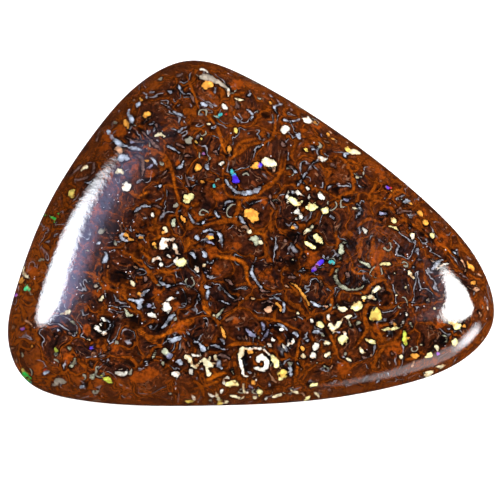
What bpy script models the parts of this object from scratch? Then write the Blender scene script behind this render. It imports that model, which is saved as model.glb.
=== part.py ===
# A polished freeform boulder opal: one solid stone with a rounded three-cornered outline,
# a low domed face, softly turned shoulders and a flat ground back.
# Blender 4.5, metres, +Z up. The stone lies on its back; the origin is under the middle of it.

import math

import bmesh
import bpy
import numpy as np

MM = 0.001

# The widest outline seen from above, anticlockwise from the upper corner, in millimetres.
OUTLINE_MM = [
    (-5.1, 13.6),
    (-8.5, 12.1),
    (-12.4, 7.9),
    (-16.2, 1.7),
    (-18.5, -4.6),
    (-19.1, -8.5),
    (-17.7, -11.7),
    (-13.8, -13.2),
    (-4.0, -13.6),
    (4.7, -13.1),
    (11.7, -11.8),
    (16.7, -9.7),
    (18.9, -7.0),
    (18.4, -3.2),
    (14.4, 2.0),
    (6.4, 8.3),
    (-0.6, 12.4),
]

# Heights, in millimetres above the back.
GIRDLE_HEIGHT = 2.3  # where the stone is widest
SHOULDER_RISE = 3.8  # from the girdle to the edge of the face
FACE_CROWN = 0.6  # the face's own gentle dome

# Widths measured inwards from the outline, in millimetres.
SHOULDER_WIDTH = 5.6
SHOULDER_WIDTH_CHANGE = 0.7  # the shoulder is this much wider on its broad side
BROAD_SHOULDER_SIDE = math.radians(215)  # direction of the broad side, from +X
BACK_EDGE_WIDTH = 1.5  # the round between the girdle and the flat back

# Slow waves that hand grinding left in the face, in millimetres.
FACE_WAVE = 0.06
FACE_WAVE_LENGTH = 17.0
FACE_WAVE_SKEW = 0.35  # how far the two crossing waves are turned from X and Y
FACE_WAVE_START = 0.8  # radians

# Mesh density: segments round the outline, and shares of the half turn from face to back.
SEGMENTS_ROUND = 104
RINGS = 37
SHOULDER_SHARE = 0.62  # of the rings over the girdle
BACK_EDGE_SHARE = 0.6  # of the rings under the girdle

STONE_BROWN = (0.16, 0.055, 0.018, 1.0)
POLISH_ROUGHNESS = 0.12


def closed_curve(points, count):
    """Points spread evenly along the smooth closed curve that passes through the given ones."""
    points = np.array(points, float)
    size = len(points)
    spans = np.linalg.norm(np.roll(points, -1, axis=0) - points, axis=1)
    matrix = np.zeros((size, size))
    pull = np.zeros((size, 2))
    for i in range(size):
        after = (i + 1) % size
        matrix[i, i - 1] += spans[i - 1]
        matrix[i, i] += 2 * (spans[i - 1] + spans[i])
        matrix[i, after] += spans[i]
        ahead = (points[after] - points[i]) / spans[i]
        behind = (points[i] - points[i - 1]) / spans[i - 1]
        pull[i] = 6 * (ahead - behind)
    bend = np.linalg.solve(matrix, pull)

    knots = np.concatenate([[0.0], np.cumsum(spans)])
    places = np.linspace(0.0, knots[-1], count, endpoint=False)
    start = np.searchsorted(knots, places, side="right") - 1
    end = (start + 1) % size
    span = spans[start][:, None]
    gone = (places - knots[start])[:, None]
    left = span - gone
    cubic = (bend[start] * left**3 + bend[end] * gone**3) / (6 * span)
    line_start = (points[start] / span - bend[start] * span / 6) * left
    line_end = (points[end] / span - bend[end] * span / 6) * gone
    return cubic + line_start + line_end


def outline_with_normals(count):
    """The outline, centred on its own box, with the way out of the stone at each point."""
    outline = closed_curve(OUTLINE_MM, count)
    outline -= (outline.min(axis=0) + outline.max(axis=0)) / 2
    along = np.roll(outline, -1, axis=0) - np.roll(outline, 1, axis=0)
    outward = np.stack([along[:, 1], -along[:, 0]], axis=1)
    return outline, outward / np.linalg.norm(outward, axis=1, keepdims=True)


def middle_of(outline):
    """The centre of the outline's area, where the rings of the face and the back close."""
    following = np.roll(outline, -1, axis=0)
    cross = outline[:, 0] * following[:, 1] - following[:, 0] * outline[:, 1]
    return ((outline + following) * cross[:, None]).sum(axis=0) / (3 * cross.sum())


def shoulder_width(direction):
    return SHOULDER_WIDTH + SHOULDER_WIDTH_CHANGE * math.cos(direction - BROAD_SHOULDER_SIDE)


def face_wave(x, y):
    turn = 2 * math.pi / FACE_WAVE_LENGTH
    across = math.sin(turn * (x + FACE_WAVE_SKEW * y))
    along = math.cos(turn * (y - FACE_WAVE_SKEW * x) + FACE_WAVE_START)
    return FACE_WAVE * across * along


def face_point(rise, depth, direction):
    """(share of the reach, height) for a ring over the girdle. rise runs from 0 to 1, the middle."""
    width = shoulder_width(direction)
    edge_of_face = 1 - width / depth
    if rise < SHOULDER_SHARE:
        turn = math.pi / 2 * rise / SHOULDER_SHARE
        share = 1 - (1 - math.cos(turn)) * width / depth
        height = GIRDLE_HEIGHT + SHOULDER_RISE * math.sin(turn)
    else:
        share = edge_of_face * (1 - rise) / (1 - SHOULDER_SHARE)
        height = GIRDLE_HEIGHT + SHOULDER_RISE
    return share, height + FACE_CROWN * (1 - share**2)


def back_point(drop, depth):
    """(share of the reach, height) for a ring under the girdle. drop runs from 0 to 1, the middle."""
    edge_of_back = 1 - BACK_EDGE_WIDTH / depth
    if drop < BACK_EDGE_SHARE:
        turn = math.pi / 2 * drop / BACK_EDGE_SHARE
        share = 1 - (1 - math.cos(turn)) * BACK_EDGE_WIDTH / depth
        return share, GIRDLE_HEIGHT * (1 - math.sin(turn))
    return edge_of_back * (1 - drop) / (1 - BACK_EDGE_SHARE), 0.0


def shape_stone(bm):
    """Moves each vertex of a unit sphere to its place on the stone, by longitude and latitude."""
    outline, outward = outline_with_normals(SEGMENTS_ROUND)
    middle = middle_of(outline)
    for vertex in bm.verts:
        x, y, z = vertex.co
        latitude = math.asin(max(-1.0, min(1.0, z))) / (math.pi / 2)
        turn = math.atan2(y, x) / (2 * math.pi)
        column = round(turn * SEGMENTS_ROUND) % SEGMENTS_ROUND
        reach = outline[column] - middle
        depth = float(reach @ outward[column])
        direction = math.atan2(outward[column][1], outward[column][0])
        if latitude >= 0:
            share, height = face_point(latitude, depth, direction)
        else:
            share, height = back_point(-latitude, depth)
        place = middle + reach * share
        if latitude > 0:
            over_girdle = (height - GIRDLE_HEIGHT) / SHOULDER_RISE
            height += face_wave(*place) * min(1.0, over_girdle) ** 2
        vertex.co = (place[0] * MM, place[1] * MM, height * MM)


def stone_material():
    material = bpy.data.materials.new("polished_ironstone_opal")
    material.use_nodes = True
    shader = material.node_tree.nodes["Principled BSDF"]
    shader.inputs["Base Color"].default_value = STONE_BROWN
    shader.inputs["Roughness"].default_value = POLISH_ROUGHNESS
    shader.inputs["Metallic"].default_value = 0.0
    return material


def make_stone(collection):
    bm = bmesh.new()
    bmesh.ops.create_uvsphere(bm, u_segments=SEGMENTS_ROUND, v_segments=RINGS + 1, radius=1.0)
    shape_stone(bm)
    mesh = bpy.data.meshes.new("boulder_opal")
    bm.to_mesh(mesh)
    bm.free()
    mesh.shade_smooth()
    mesh.materials.append(stone_material())
    stone = bpy.data.objects.new("boulder_opal", mesh)
    collection.objects.link(stone)
    return stone


def main():
    for old in list(bpy.data.objects):
        bpy.data.objects.remove(old, do_unlink=True)
    collection = bpy.data.collections.new("polished_boulder_opal")
    bpy.context.scene.collection.children.link(collection)
    make_stone(collection)


main()
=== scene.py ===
# A polished freeform boulder opal, lying on its flat back: brown ironstone with orange veins,
# grey-blue and cream opal seams, and a few sparks of play-of-colour. Blender 4.5, metres, +Z up.
import math

import bmesh
import bpy
import numpy as np
from mathutils import Matrix, Vector


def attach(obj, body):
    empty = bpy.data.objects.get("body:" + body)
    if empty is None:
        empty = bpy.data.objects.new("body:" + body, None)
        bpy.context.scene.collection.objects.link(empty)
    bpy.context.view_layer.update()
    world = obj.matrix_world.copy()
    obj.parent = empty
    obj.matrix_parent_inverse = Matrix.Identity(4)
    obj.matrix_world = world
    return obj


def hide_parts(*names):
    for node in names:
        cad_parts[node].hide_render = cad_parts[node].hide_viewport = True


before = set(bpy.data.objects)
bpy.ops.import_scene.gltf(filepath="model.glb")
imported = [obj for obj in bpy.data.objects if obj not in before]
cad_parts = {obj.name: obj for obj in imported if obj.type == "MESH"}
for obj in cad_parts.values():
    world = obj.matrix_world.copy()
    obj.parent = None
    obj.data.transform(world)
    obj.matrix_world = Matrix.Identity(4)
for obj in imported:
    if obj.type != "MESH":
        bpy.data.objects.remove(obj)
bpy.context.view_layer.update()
print("frame loaded")

mm = 0.001
pi = math.pi

# The form, in millimetres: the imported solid's own, with a finer skin.
stoneForm = {
    "outline": [  # anticlockwise from the upper corner
        (-5.1, 13.6), (-8.5, 12.1), (-12.4, 7.9), (-16.2, 1.7), (-18.5, -4.6), (-19.1, -8.5),
        (-17.7, -11.7), (-13.8, -13.2), (-4.0, -13.6), (4.7, -13.1), (11.7, -11.8), (16.7, -9.7),
        (18.9, -7.0), (18.4, -3.2), (14.4, 2.0), (6.4, 8.3), (-0.6, 12.4),
    ],
    "girdleHeight": 2.3,  # where the stone is widest
    "shoulderRise": 3.8,  # from there to the edge of the face
    "faceCrown": 0.6,  # the face's own dome
    "shoulderWidth": 5.6,
    "shoulderChange": 0.7,  # wider by this on the broad side
    "broadSide": math.radians(215),
    "backEdge": 1.5,  # the round between the girdle and the flat back
    "wave": 0.06,  # slow waves that hand grinding left in the face
    "waveLength": 17.0,
    "waveSkew": 0.35,
    "waveStart": 0.8,
}

stoneMesh = {
    "cells": 280,  # squares across the face, about 0.12 mm each
    "shoulderShare": 0.42,  # of the way in from the girdle
    "backRings": 9,
    "backInset": 0.5,  # mm, a last ring round the flat back
    "backStep": 8,  # each square of the flat back is as wide as this many of the face's
    "backJoin": 1.2,  # mm, from the last ring to the squares of the flat back
    "backOut": 3.0,  # marks these squares, where the face counts to 1 and the rings to just over 2
    "outlineSteps": 1440,
    "mapMargin": 0.01,  # round each part of the bake map
}


def closedCurve(points, count):  # evenly spaced points on the smooth closed curve through these
    points = np.array(points, float)
    size = len(points)
    spans = np.linalg.norm(np.roll(points, -1, axis=0) - points, axis=1)
    matrix = np.zeros((size, size))
    pull = np.zeros((size, 2))
    for i in range(size):
        after = (i + 1) % size
        matrix[i, i - 1] += spans[i - 1]
        matrix[i, i] += 2 * (spans[i - 1] + spans[i])
        matrix[i, after] += spans[i]
        ahead = (points[after] - points[i]) / spans[i]
        behind = (points[i] - points[i - 1]) / spans[i - 1]
        pull[i] = 6 * (ahead - behind)
    bend = np.linalg.solve(matrix, pull)

    knots = np.concatenate([[0.0], np.cumsum(spans)])
    places = np.linspace(0.0, knots[-1], count, endpoint=False)
    start = np.searchsorted(knots, places, side="right") - 1
    end = (start + 1) % size
    span = spans[start][:, None]
    gone = (places - knots[start])[:, None]
    left = span - gone
    cubic = (bend[start] * left**3 + bend[end] * gone**3) / (6 * span)
    lineStart = (points[start] / span - bend[start] * span / 6) * left
    lineEnd = (points[end] / span - bend[end] * span / 6) * gone
    return cubic + lineStart + lineEnd


def girdleOf(form, steps):  # the widest line, the way out of the stone along it, and its middle
    line = closedCurve(form["outline"], steps)
    line -= (line.min(axis=0) + line.max(axis=0)) / 2
    along = np.roll(line, -1, axis=0) - np.roll(line, 1, axis=0)
    outward = np.stack([along[:, 1], -along[:, 0]], axis=1)
    outward /= np.linalg.norm(outward, axis=1, keepdims=True)
    after = np.roll(line, -1, axis=0)
    cross = line[:, 0] * after[:, 1] - after[:, 0] * line[:, 1]
    middle = ((line + after) * cross[:, None]).sum(axis=0) / (3 * cross.sum())
    return {"line": line, "outward": outward, "middle": middle}


def girdleAt(girdle, turn):  # reach from the middle, and way out, at shares of a full turn
    line, outward = girdle["line"], girdle["outward"]
    exact = np.mod(turn, 1.0) * len(line)
    start = np.floor(exact).astype(int) % len(line)
    after = (start + 1) % len(line)
    part = (exact - np.floor(exact))[:, None]
    reach = line[start] * (1 - part) + line[after] * part - girdle["middle"]
    return reach, outward[start] * (1 - part) + outward[after] * part


def shoulderWidthAt(form, outward):  # mm, by the way out of the stone
    side = np.arctan2(outward[:, 1], outward[:, 0])
    return form["shoulderWidth"] + form["shoulderChange"] * np.cos(side - form["broadSide"])


def facePlaces(form, girdle, turn, out):  # out runs from 0, the middle of the face, to 1, the girdle
    reach, outward = girdleAt(girdle, turn)
    width = shoulderWidthAt(form, outward) / (reach * outward).sum(axis=1)
    shoulder = stoneMesh["shoulderShare"]
    bend = np.clip((1 - out) / shoulder, 0, 1) * pi / 2
    onFace = (1 - width) * out / (1 - shoulder)
    share = np.where(out > 1 - shoulder, 1 - (1 - np.cos(bend)) * width, onFace)
    plan = girdle["middle"] + reach * share[:, None]
    rise = form["shoulderRise"] * np.sin(bend) + form["faceCrown"] * (1 - share**2)
    turns = 2 * pi / form["waveLength"]
    across = np.sin(turns * (plan[:, 0] + form["waveSkew"] * plan[:, 1]))
    along = np.cos(turns * (plan[:, 1] - form["waveSkew"] * plan[:, 0]) + form["waveStart"])
    held = np.clip(rise / form["shoulderRise"], 0, 1) ** 2
    height = form["girdleHeight"] + rise + form["wave"] * across * along * held
    return np.column_stack([plan, height])


def backPlaces(form, girdle, turn, drop, inset, out=1.0):  # drop runs from 0, the girdle, to 1, the back
    reach, outward = girdleAt(girdle, turn)
    depth = (reach * outward).sum(axis=1)
    bend = drop * pi / 2
    share = out * (1 - ((1 - math.cos(bend)) * form["backEdge"] + inset) / depth)
    plan = girdle["middle"] + reach * share[:, None]
    height = np.full(len(plan), form["girdleHeight"] * (1 - math.sin(bend)))
    return np.column_stack([plan, height])


def discOf(square):  # (turn, out) on a disc for points of a square, with areas kept even
    a, b = square[:, 0], square[:, 1]
    wide = np.abs(a) >= np.abs(b)
    out = np.where(wide, a, b)
    safe = np.where(out == 0, 1.0, out)
    angle = np.where(wide, pi / 4 * b / safe, pi / 2 - pi / 4 * a / safe)
    return np.mod((angle + pi * (out < 0)) / (2 * pi), 1.0), np.abs(out)


def placesOf(verts):
    return np.array([vert.co for vert in verts])


def moveTo(verts, places):
    for vert, place in zip(verts, places):
        vert.co = place


def closeBack(bm, form, girdle, turnOf, outOf):  # the flat back: wide squares, joined to the last ring
    cells = stoneMesh["cells"] // stoneMesh["backStep"]
    verts = bmesh.ops.create_grid(bm, x_segments=cells, y_segments=cells, size=1.0)["verts"]
    turn, out = discOf(placesOf(verts))
    inset = stoneMesh["backInset"] + stoneMesh["backJoin"]
    moveTo(verts, backPlaces(form, girdle, turn, 1.0, inset, out))
    for vert, itsTurn in zip(verts, turn):
        vert[turnOf] = itsTurn
        vert[outOf] = stoneMesh["backOut"]
    gap = [edge for edge in bm.edges if edge.is_boundary]
    bmesh.ops.triangle_fill(bm, use_beauty=True, edges=gap, normal=(0, 0, -1))


def makeStoneMesh(form, girdle):
    bm = bmesh.new()
    cells = stoneMesh["cells"]
    bmesh.ops.create_grid(bm, x_segments=cells, y_segments=cells, size=1.0)
    turnOf = bm.verts.layers.float.new("turn")
    outOf = bm.verts.layers.float.new("out")  # above 1 under the girdle
    verts = list(bm.verts)
    turn, out = discOf(placesOf(verts))
    moveTo(verts, facePlaces(form, girdle, turn, out))
    for vert, itsTurn, itsOut in zip(verts, turn, out):
        vert[turnOf] = itsTurn
        vert[outOf] = itsOut

    rings = stoneMesh["backRings"]
    edges = [edge for edge in bm.edges if edge.is_boundary]
    for ring in range(1, rings + 2):
        made = bmesh.ops.extrude_edge_only(bm, edges=edges)["geom"]
        fresh = [item for item in made if isinstance(item, bmesh.types.BMVert)]
        known = set(fresh)
        edges = [item for item in made if isinstance(item, bmesh.types.BMEdge)]
        edges = [edge for edge in edges if known.issuperset(edge.verts)]
        drop = min(1.0, ring / rings)
        inset = stoneMesh["backInset"] if ring > rings else 0.0
        itsTurns = np.array([vert[turnOf] for vert in fresh])
        moveTo(fresh, backPlaces(form, girdle, itsTurns, drop, inset))
        for vert in fresh:
            vert[outOf] = 1 + ring / rings
    closeBack(bm, form, girdle, turnOf, outOf)
    bmesh.ops.recalc_face_normals(bm, faces=bm.faces)
    return bm


girdle = girdleOf(stoneForm, stoneMesh["outlineSteps"])
bm = makeStoneMesh(stoneForm, girdle)
bmesh.ops.scale(bm, vec=(mm, mm, mm), verts=bm.verts)
stoneData = bpy.data.meshes.new("polished_stone")
bm.to_mesh(stoneData)
bm.free()
stoneData.shade_smooth()


def layerOf(data, name):
    values = np.zeros(len(data.vertices))
    data.attributes[name].data.foreach_get("value", values)
    return values


def placesIn(data):  # every vertex of the finished mesh, in mm
    flat = np.zeros(len(data.vertices) * 3)
    data.vertices.foreach_get("co", flat)
    return flat.reshape(-1, 3) / mm


def layOut(data, form, girdle):  # face and sides unrolled as one piece, the flat back beside them
    turn, out = layerOf(data, "turn"), layerOf(data, "out")
    plan = placesIn(data)[:, :2]
    reach, outward = girdleAt(girdle, turn)
    width = shoulderWidthAt(form, outward)
    bend = np.clip((1 - out) / stoneMesh["shoulderShare"], 0, 1) * pi / 2
    spread = (width + form["shoulderRise"]) / 2 * (pi / 2 - bend) - width * np.cos(bend)
    drop = np.clip(out - 1, 0, 1)
    spread += (form["backEdge"] + form["girdleHeight"]) / 2 * drop * pi / 2
    spread += np.where(out > 2, stoneMesh["backInset"], 0)
    under = (out > 1)[:, None]
    sheet = np.where(under, girdle["middle"] + reach, plan) + outward * spread[:, None]
    low, high = sheet.min(axis=0), sheet.max(axis=0)
    margin = stoneMesh["mapMargin"]
    sheet = (sheet - low) * (1 - 2 * margin) / (high - low).max() + margin

    starts = np.zeros(len(data.polygons), int)
    totals = np.zeros(len(data.polygons), int)
    corners = np.zeros(len(data.loops), int)
    data.polygons.foreach_get("loop_start", starts)
    data.polygons.foreach_get("loop_total", totals)
    data.loops.foreach_get("vertex_index", corners)
    places = sheet[corners]
    loops = np.repeat(np.minimum.reduceat(out[corners], starts) > 2, totals)  # of the flat back
    flat = plan[corners[loops]] * (-1, 1)  # seen from below
    top = sheet[:, 1].max()
    flat = (flat - flat.min(axis=0)) * (1 - 3 * margin - top) / np.ptp(flat[:, 1])
    places[loops] = flat + (margin, top + 2 * margin)
    data.uv_layers.new(name="OFBake").data.foreach_set("uv", places.ravel())


layOut(stoneData, stoneForm, girdle)
stone = bpy.data.objects.new("polished_stone", stoneData)
bpy.context.scene.collection.objects.link(stone)
print("stone modelled,", len(stoneData.vertices), "vertices")

# The colours are what the eye sees in the studio, as red, green and blue out of 255.
tints = {
    "mist": (198, 208, 222), "milk": (255, 249, 230), "cream": (252, 238, 192),
    "butter": (255, 244, 168), "sage": (196, 200, 168), "straw": (236, 205, 100),
    "peach": (226, 170, 130), "dusk": (136, 106, 96), "lavender": (168, 171, 202),
    "stone": (180, 166, 146), "iris": (150, 84, 190), "violet": (78, 50, 230),
    "sea": (70, 205, 205), "leaf": (50, 205, 80), "mint": (90, 235, 150),
    "lime": (205, 225, 85), "fire": (225, 62, 28), "amber": (242, 164, 68),
}
solidTints = (  # bright and full; the others are thin, clouded seams
    "milk", "cream", "butter", "straw", "fire", "amber", "mint", "lime", "leaf", "sea", "iris", "violet",
)

# Opal seams and specks as drawn: each is its full width, then x, y of its points, in mm.
opalMarks = {
    "mist": [
        (0.16, -7.5, 9.6, -6.9, 9.2, -6.5, 8.8, -6.0, 8.55, -5.5, 8.2),
        (0.15, -5.85, 8.15, -5.55, 7.7, -6.0, 7.45, -6.55, 7.05, -7.0, 6.95),
        (0.45, -9.4, 9.65, -9.15, 9.7), (0.35, -9.9, 9.2, -10.0, 8.8, -9.75, 8.3, -9.75, 7.9),
        (0.35, -11.6, 7.6, -11.3, 7.05, -10.9, 6.5, -10.3, 6.15, -9.5, 5.9, -8.7, 5.7),
        (0.35, -7.0, 10.5, -6.65, 10.5), (0.14, -6.15, 11.1, -6.0, 10.6, -5.8, 10.3, -5.4, 10.4),
        (0.15, -3.25, 10.9, -3.35, 10.4), (0.4, -4.6, 9.6, -4.3, 9.4, -4.0, 9.4),
        (0.18, -8.5, 7.9, -8.2, 8.05), (0.13, -6.4, 9.2, -6.1, 9.6), (0.15, -8.85, 10.6, -8.6, 10.1),
        (0.13, -8.4, 10.55, -8.0, 10.55), (0.2, -0.6, 10.8, -0.8, 10.3), (0.15, -2.0, 8.4, -1.6, 8.1),
        (0.17, -0.95, 9.2, -0.55, 8.9, -0.45, 8.6, -0.65, 8.3), (0.35, -3.5, 7.75),
        (0.2, 2.1, 9.95, 1.6, 9.75, 1.35, 9.45, 1.5, 9.0), (0.15, 1.0, 10.9, 1.4, 10.5),
        (0.2, 1.9, 8.5, 2.6, 8.4, 3.2, 8.55, 3.7, 8.65), (0.5, 3.1, 7.35, 3.3, 7.1),
        (0.15, -13.35, 3.4, -12.8, 3.5), (0.13, -12.1, 1.6, -11.9, 1.2),
        (0.55, -10.8, 5.0, -10.05, 5.2), (0.14, -9.5, 3.2, -9.1, 3.45, -8.65, 3.45),
        (0.18, -8.5, 5.25, -8.1, 4.95, -7.85, 4.4),
        (0.18, -9.7, 0.85, -9.35, 1.15, -9.0, 1.4, -8.4, 1.35), (0.15, -7.85, 2.7, -7.6, 3.1),
        (0.17, -7.1, 6.1, -6.6, 5.85, -6.15, 5.55), (0.18, -5.9, 4.95, -6.0, 4.55, -6.4, 4.35),
        (0.28, -3.9, 4.75, -3.95, 4.3), (0.15, -4.8, 3.35),
        (0.16, -5.25, 1.3, -5.5, 1.0, -5.35, 0.6, -5.1, 0.2, -4.8, 0.05, -4.35, 0.15, -4.05, 0.5),
        (0.32, -2.65, 3.6, -2.5, 3.3, -2.1, 2.8, -1.6, 2.55, -1.05, 2.5, -0.4, 2.65, 0.05, 2.95, 0.3,
         3.25), (0.15, 0.2, 4.5), (0.2, 2.55, 2.6), (0.25, 2.83, 4.3), (0.14, -0.85, 1.55, -0.4, 1.85),
        (0.13, 3.0, 3.2, 3.35, 3.75, 3.8, 4.4, 4.2, 4.95, 4.7, 5.35),
        (0.18, -2.75, 1.25, -2.6, 1.7, -2.3, 1.85, -1.9, 1.85),
        (0.17, -3.45, 1.2, -3.3, 0.75, -3.05, 0.6), (0.18, -1.55, 0.7, -1.3, 0.35, -1.05, 0.1),
        (0.13, 2.75, 0.15, 2.95, -0.2), (0.25, 7.15, 6.05, 6.9, 5.6), (0.25, 4.4, 6.1),
        (0.14, 7.65, 3.45, 7.95, 3.25, 8.25, 3.1), (0.4, 11.45, 2.25, 11.95, 2.45),
        (0.25, 7.55, 1.9, 7.8, 1.7, 7.95, 1.4, 7.7, 1.0, 7.55, 0.65), (0.2, 5.5, 0.85, 5.85, 0.55),
        (0.14, 11.75, 0.6, 11.8, -0.1), (0.22, -12.5, -1.65, -12.2, -1.5),
        (0.13, -13.3, -1.2, -13.1, -1.0), (0.3, -12.0, -2.2, -11.75, -2.4, -11.85, -2.8, -12.0, -3.05),
        (0.3, -10.5, -0.7, -10.65, -1.0, -10.4, -1.25, -10.15, -1.3),
        (0.18, -9.5, -0.95, -9.1, -0.9, -8.75, -0.95),
        (0.18, -5.55, -2.25, -5.2, -2.25, -5.0, -2.5, -4.9, -2.7),
        (0.42, -4.35, -2.1, -4.15, -2.4, -4.1, -2.6),
        (0.15, -4.1, -2.6, -3.95, -2.95, -3.7, -2.95, -3.5, -2.75, -3.2, -2.6),
        (0.2, -7.8, -4.35, -7.5, -4.6, -7.2, -4.75, -6.9, -4.8, -6.6, -4.75),
        (0.14, -6.6, -4.75, -6.2, -4.6, -5.8, -4.6, -5.4, -4.75, -5.05, -4.95, -4.75, -5.3, -4.6, -5.7,
         -4.6, -6.1), (0.18, -6.6, -5.4, -6.3, -5.3, -6.1, -5.0),
        (0.2, -9.0, -5.6, -8.8, -5.3, -8.4, -5.1),
        (0.45, -9.05, -5.9, -9.25, -6.15, -9.15, -6.5, -9.0, -6.6),
        (0.14, -10.1, -5.85, -9.6, -5.95, -9.4, -6.0), (0.13, -10.7, -6.4, -10.7, -6.7),
        (0.28, -6.4, -7.0, -6.7, -7.1, -6.95, -7.4, -7.2, -7.75, -7.55, -8.1),
        (0.25, -4.25, -4.6, -4.1, -4.8, -3.8, -4.85), (0.25, -3.85, -5.0, -4.0, -5.4, -4.05, -5.7),
        (0.35, -4.8, -1.1, -4.6, -0.8), (0.15, -4.6, -0.8, -4.3, -0.55, -3.9, -0.4, -3.5, -0.5),
        (0.32, -3.5, -0.5, -3.15, -0.6, -3.0, -1.0, -2.9, -1.5, -2.75, -1.9),
        (0.18, 3.4, -3.3, 3.15, -3.6),
        (0.17, -0.15, -2.45, -0.35, -2.8, -0.55, -3.3, -0.6, -3.6, -0.45, -4.0, -0.2, -4.4, 0.2, -4.8),
        (0.13, -3.2, -5.8, -2.9, -5.9, -2.5, -6.05, -2.2, -6.15),
        (0.14, 1.15, -5.5, 1.5, -5.7, 1.8, -5.85), (0.16, 1.8, -5.9, 1.95, -6.3, 1.85, -6.7),
        (0.16, 4.0, -5.85, 4.3, -6.05, 4.6, -6.2, 4.85, -6.2), (0.2, 5.0, -2.2, 5.1, -2.5),
        (0.13, 9.2, -0.85, 9.5, -1.05, 9.7, -1.15), (0.3, 12.4, -1.6, 12.35, -2.0),
        (0.13, 12.4, -2.15, 12.7, -2.5), (0.2, 15.2, -1.5, 15.4, -1.7, 15.6, -1.8),
        (0.2, 10.1, -7.4, 10.4, -7.2, 10.6, -7.1),
        (0.28, 14.7, -2.2, 14.3, -2.4, 13.9, -2.7, 13.6, -3.0, 13.5, -3.3),
        (0.22, -16.4, -11.45, -16.1, -11.3, -15.9, -11.3), (0.3, -13.5, -12.45, -13.3, -12.3),
        (0.13, -12.3, -10.1, -12.1, -10.4, -11.8, -10.6), (0.15, -15.45, -8.1, -15.2, -8.25),
        (0.15, -11.75, -7.4, -11.5, -7.7, -11.5, -8.0, -11.7, -8.3), (0.2, -8.5, -7.85, -8.3, -8.15),
        (0.16, -5.0, -8.75, -4.7, -9.05), (0.45, -4.6, -9.2, -4.3, -9.5, -4.1, -9.65),
        (0.13, -5.65, -7.95, -5.55, -8.3, -5.3, -8.55),
        (0.4, -7.1, -8.8, -6.7, -8.95, -6.3, -8.8, -5.9, -8.65),
        (0.35, -6.4, -10.6, -6.15, -10.5, -5.85, -10.7),
        (0.14, -8.9, -10.4, -8.6, -10.65, -8.65, -10.9),
        (0.15, -9.2, -11.0, -9.0, -11.15, -8.85, -11.05),
        (0.14, 1.2, -7.8, 1.5, -7.65, 1.9, -7.8, 2.2, -8.1), (0.3, 2.65, -8.2, 2.9, -8.4, 3.0, -8.6),
        (0.14, -3.1, -8.8, -2.8, -8.9, -2.65, -9.2),
        (0.13, -3.7, -9.3, -3.3, -9.3, -2.9, -9.55, -2.5, -9.6, -2.3, -9.4),
        (0.35, 2.5, -10.7, 2.6, -11.2, 2.65, -11.5), (0.2, 1.95, -9.4, 2.2, -9.6, 2.5, -9.75),
        (0.3, 4.1, -8.3, 4.5, -8.15, 4.8, -8.2, 5.0, -8.4), (0.22, 3.75, -8.85),
        (0.16, 10.15, -11.1, 10.35, -11.3), (0.2, 9.6, -11.7), (0.15, 14.75, -7.8, 15.0, -7.75),
        (0.13, 3.1, -10.55), (0.13, 12.0, -3.0), (0.3, -3.0, -10.45, -3.05, -10.8, -2.75, -11.0),
        (0.2, 1.0, -12.0, 1.05, -12.25),
    ],
    "milk": [
        (0.15, -9.5, 9.95), (0.25, -2.3, 10.95, -2.3, 10.6, -2.35, 10.2),
        (0.15, -4.4, 12.5, -3.8, 12.2), (0.28, -2.8, 9.6, -2.5, 9.2), (0.65, 3.95, 8.7, 4.1, 8.65),
        (0.5, 1.85, 7.65, 2.4, 7.65), (0.5, -10.7, 2.95, -10.2, 2.85, -9.9, 3.0),
        (0.2, -8.25, 0.9, -8.25, 0.6), (0.13, 2.3, 2.85, 2.18, 2.35, 2.15, 2.05, 2.22, 1.65),
        (0.25, 2.9, 2.65, 3.45, 2.4), (0.2, 3.05, 1.5, 3.0, 1.2, 2.75, 1.0),
        (0.2, 3.0, 1.2, 3.25, 0.85, 3.15, 0.55), (0.15, 2.85, 0.55),
        (0.13, 3.95, 2.5, 3.87, 2.3, 3.95, 2.15), (0.22, 3.8, 2.97), (0.22, -3.15, 4.75, -2.75, 4.95),
        (0.35, 4.7, 5.5, 5.3, 5.4), (0.3, 4.75, 2.65, 5.05, 2.2), (0.16, -12.1, -7.3, -11.8, -7.55),
        (0.14, -12.2, -7.7, -12.05, -7.85), (0.24, -12.6, -7.9, -12.5, -8.15, -12.2, -8.35),
        (0.3, -12.1, -8.5, -11.9, -8.5, -11.8, -8.4),
        (0.6, -7.75, -1.8, -7.5, -1.7, -7.2, -1.4, -7.05, -1.3),
        (0.2, -6.95, -1.25, -6.75, -1.2, -6.55, -1.1),
        (0.3, -6.75, -1.2, -6.6, -1.6, -6.45, -2.0, -6.25, -2.35),
        (0.18, -6.3, -2.55, -6.5, -2.8, -6.55, -3.0), (0.16, -7.2, -2.4, -7.0, -2.45, -6.85, -2.6),
        (0.26, -8.3, -2.95, -8.1, -2.75, -7.8, -2.65, -7.6, -2.85), (0.25, -7.65, -3.05, -7.55, -3.25),
        (0.32, -4.8, -3.35, -4.7, -3.65), (0.3, -6.45, -5.7, -6.8, -5.75, -7.1, -5.95),
        (0.5, -7.1, -6.05, -7.15, -6.3, -7.0, -6.55), (0.15, -7.45, -6.2, -7.2, -6.2),
        (0.2, -7.05, -6.85, -7.05, -6.5), (0.13, -6.5, -5.85),
        (0.25, -8.75, -6.85, -8.5, -7.0, -8.1, -7.1, -7.85, -7.3), (0.13, -3.1, -1.2),
        (0.18, 8.05, -0.05, 8.35, -0.55), (0.18, 11.95, -0.6, 12.0, -0.9),
        (0.14, 14.9, -2.6, 14.5, -2.75, 14.1, -2.95, 13.9, -3.2, 13.8, -3.5),
        (0.2, 18.15, -5.8, 18.2, -6.1), (0.35, -6.6, -11.4, -6.2, -11.45, -6.0, -11.4),
        (0.25, -5.5, -11.3, -5.2, -11.2, -5.1, -11.4),
        (0.13, -5.2, -9.95, -4.9, -10.05, -4.5, -10.0, -4.3, -9.95), (0.15, -10.5, -11.1),
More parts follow.
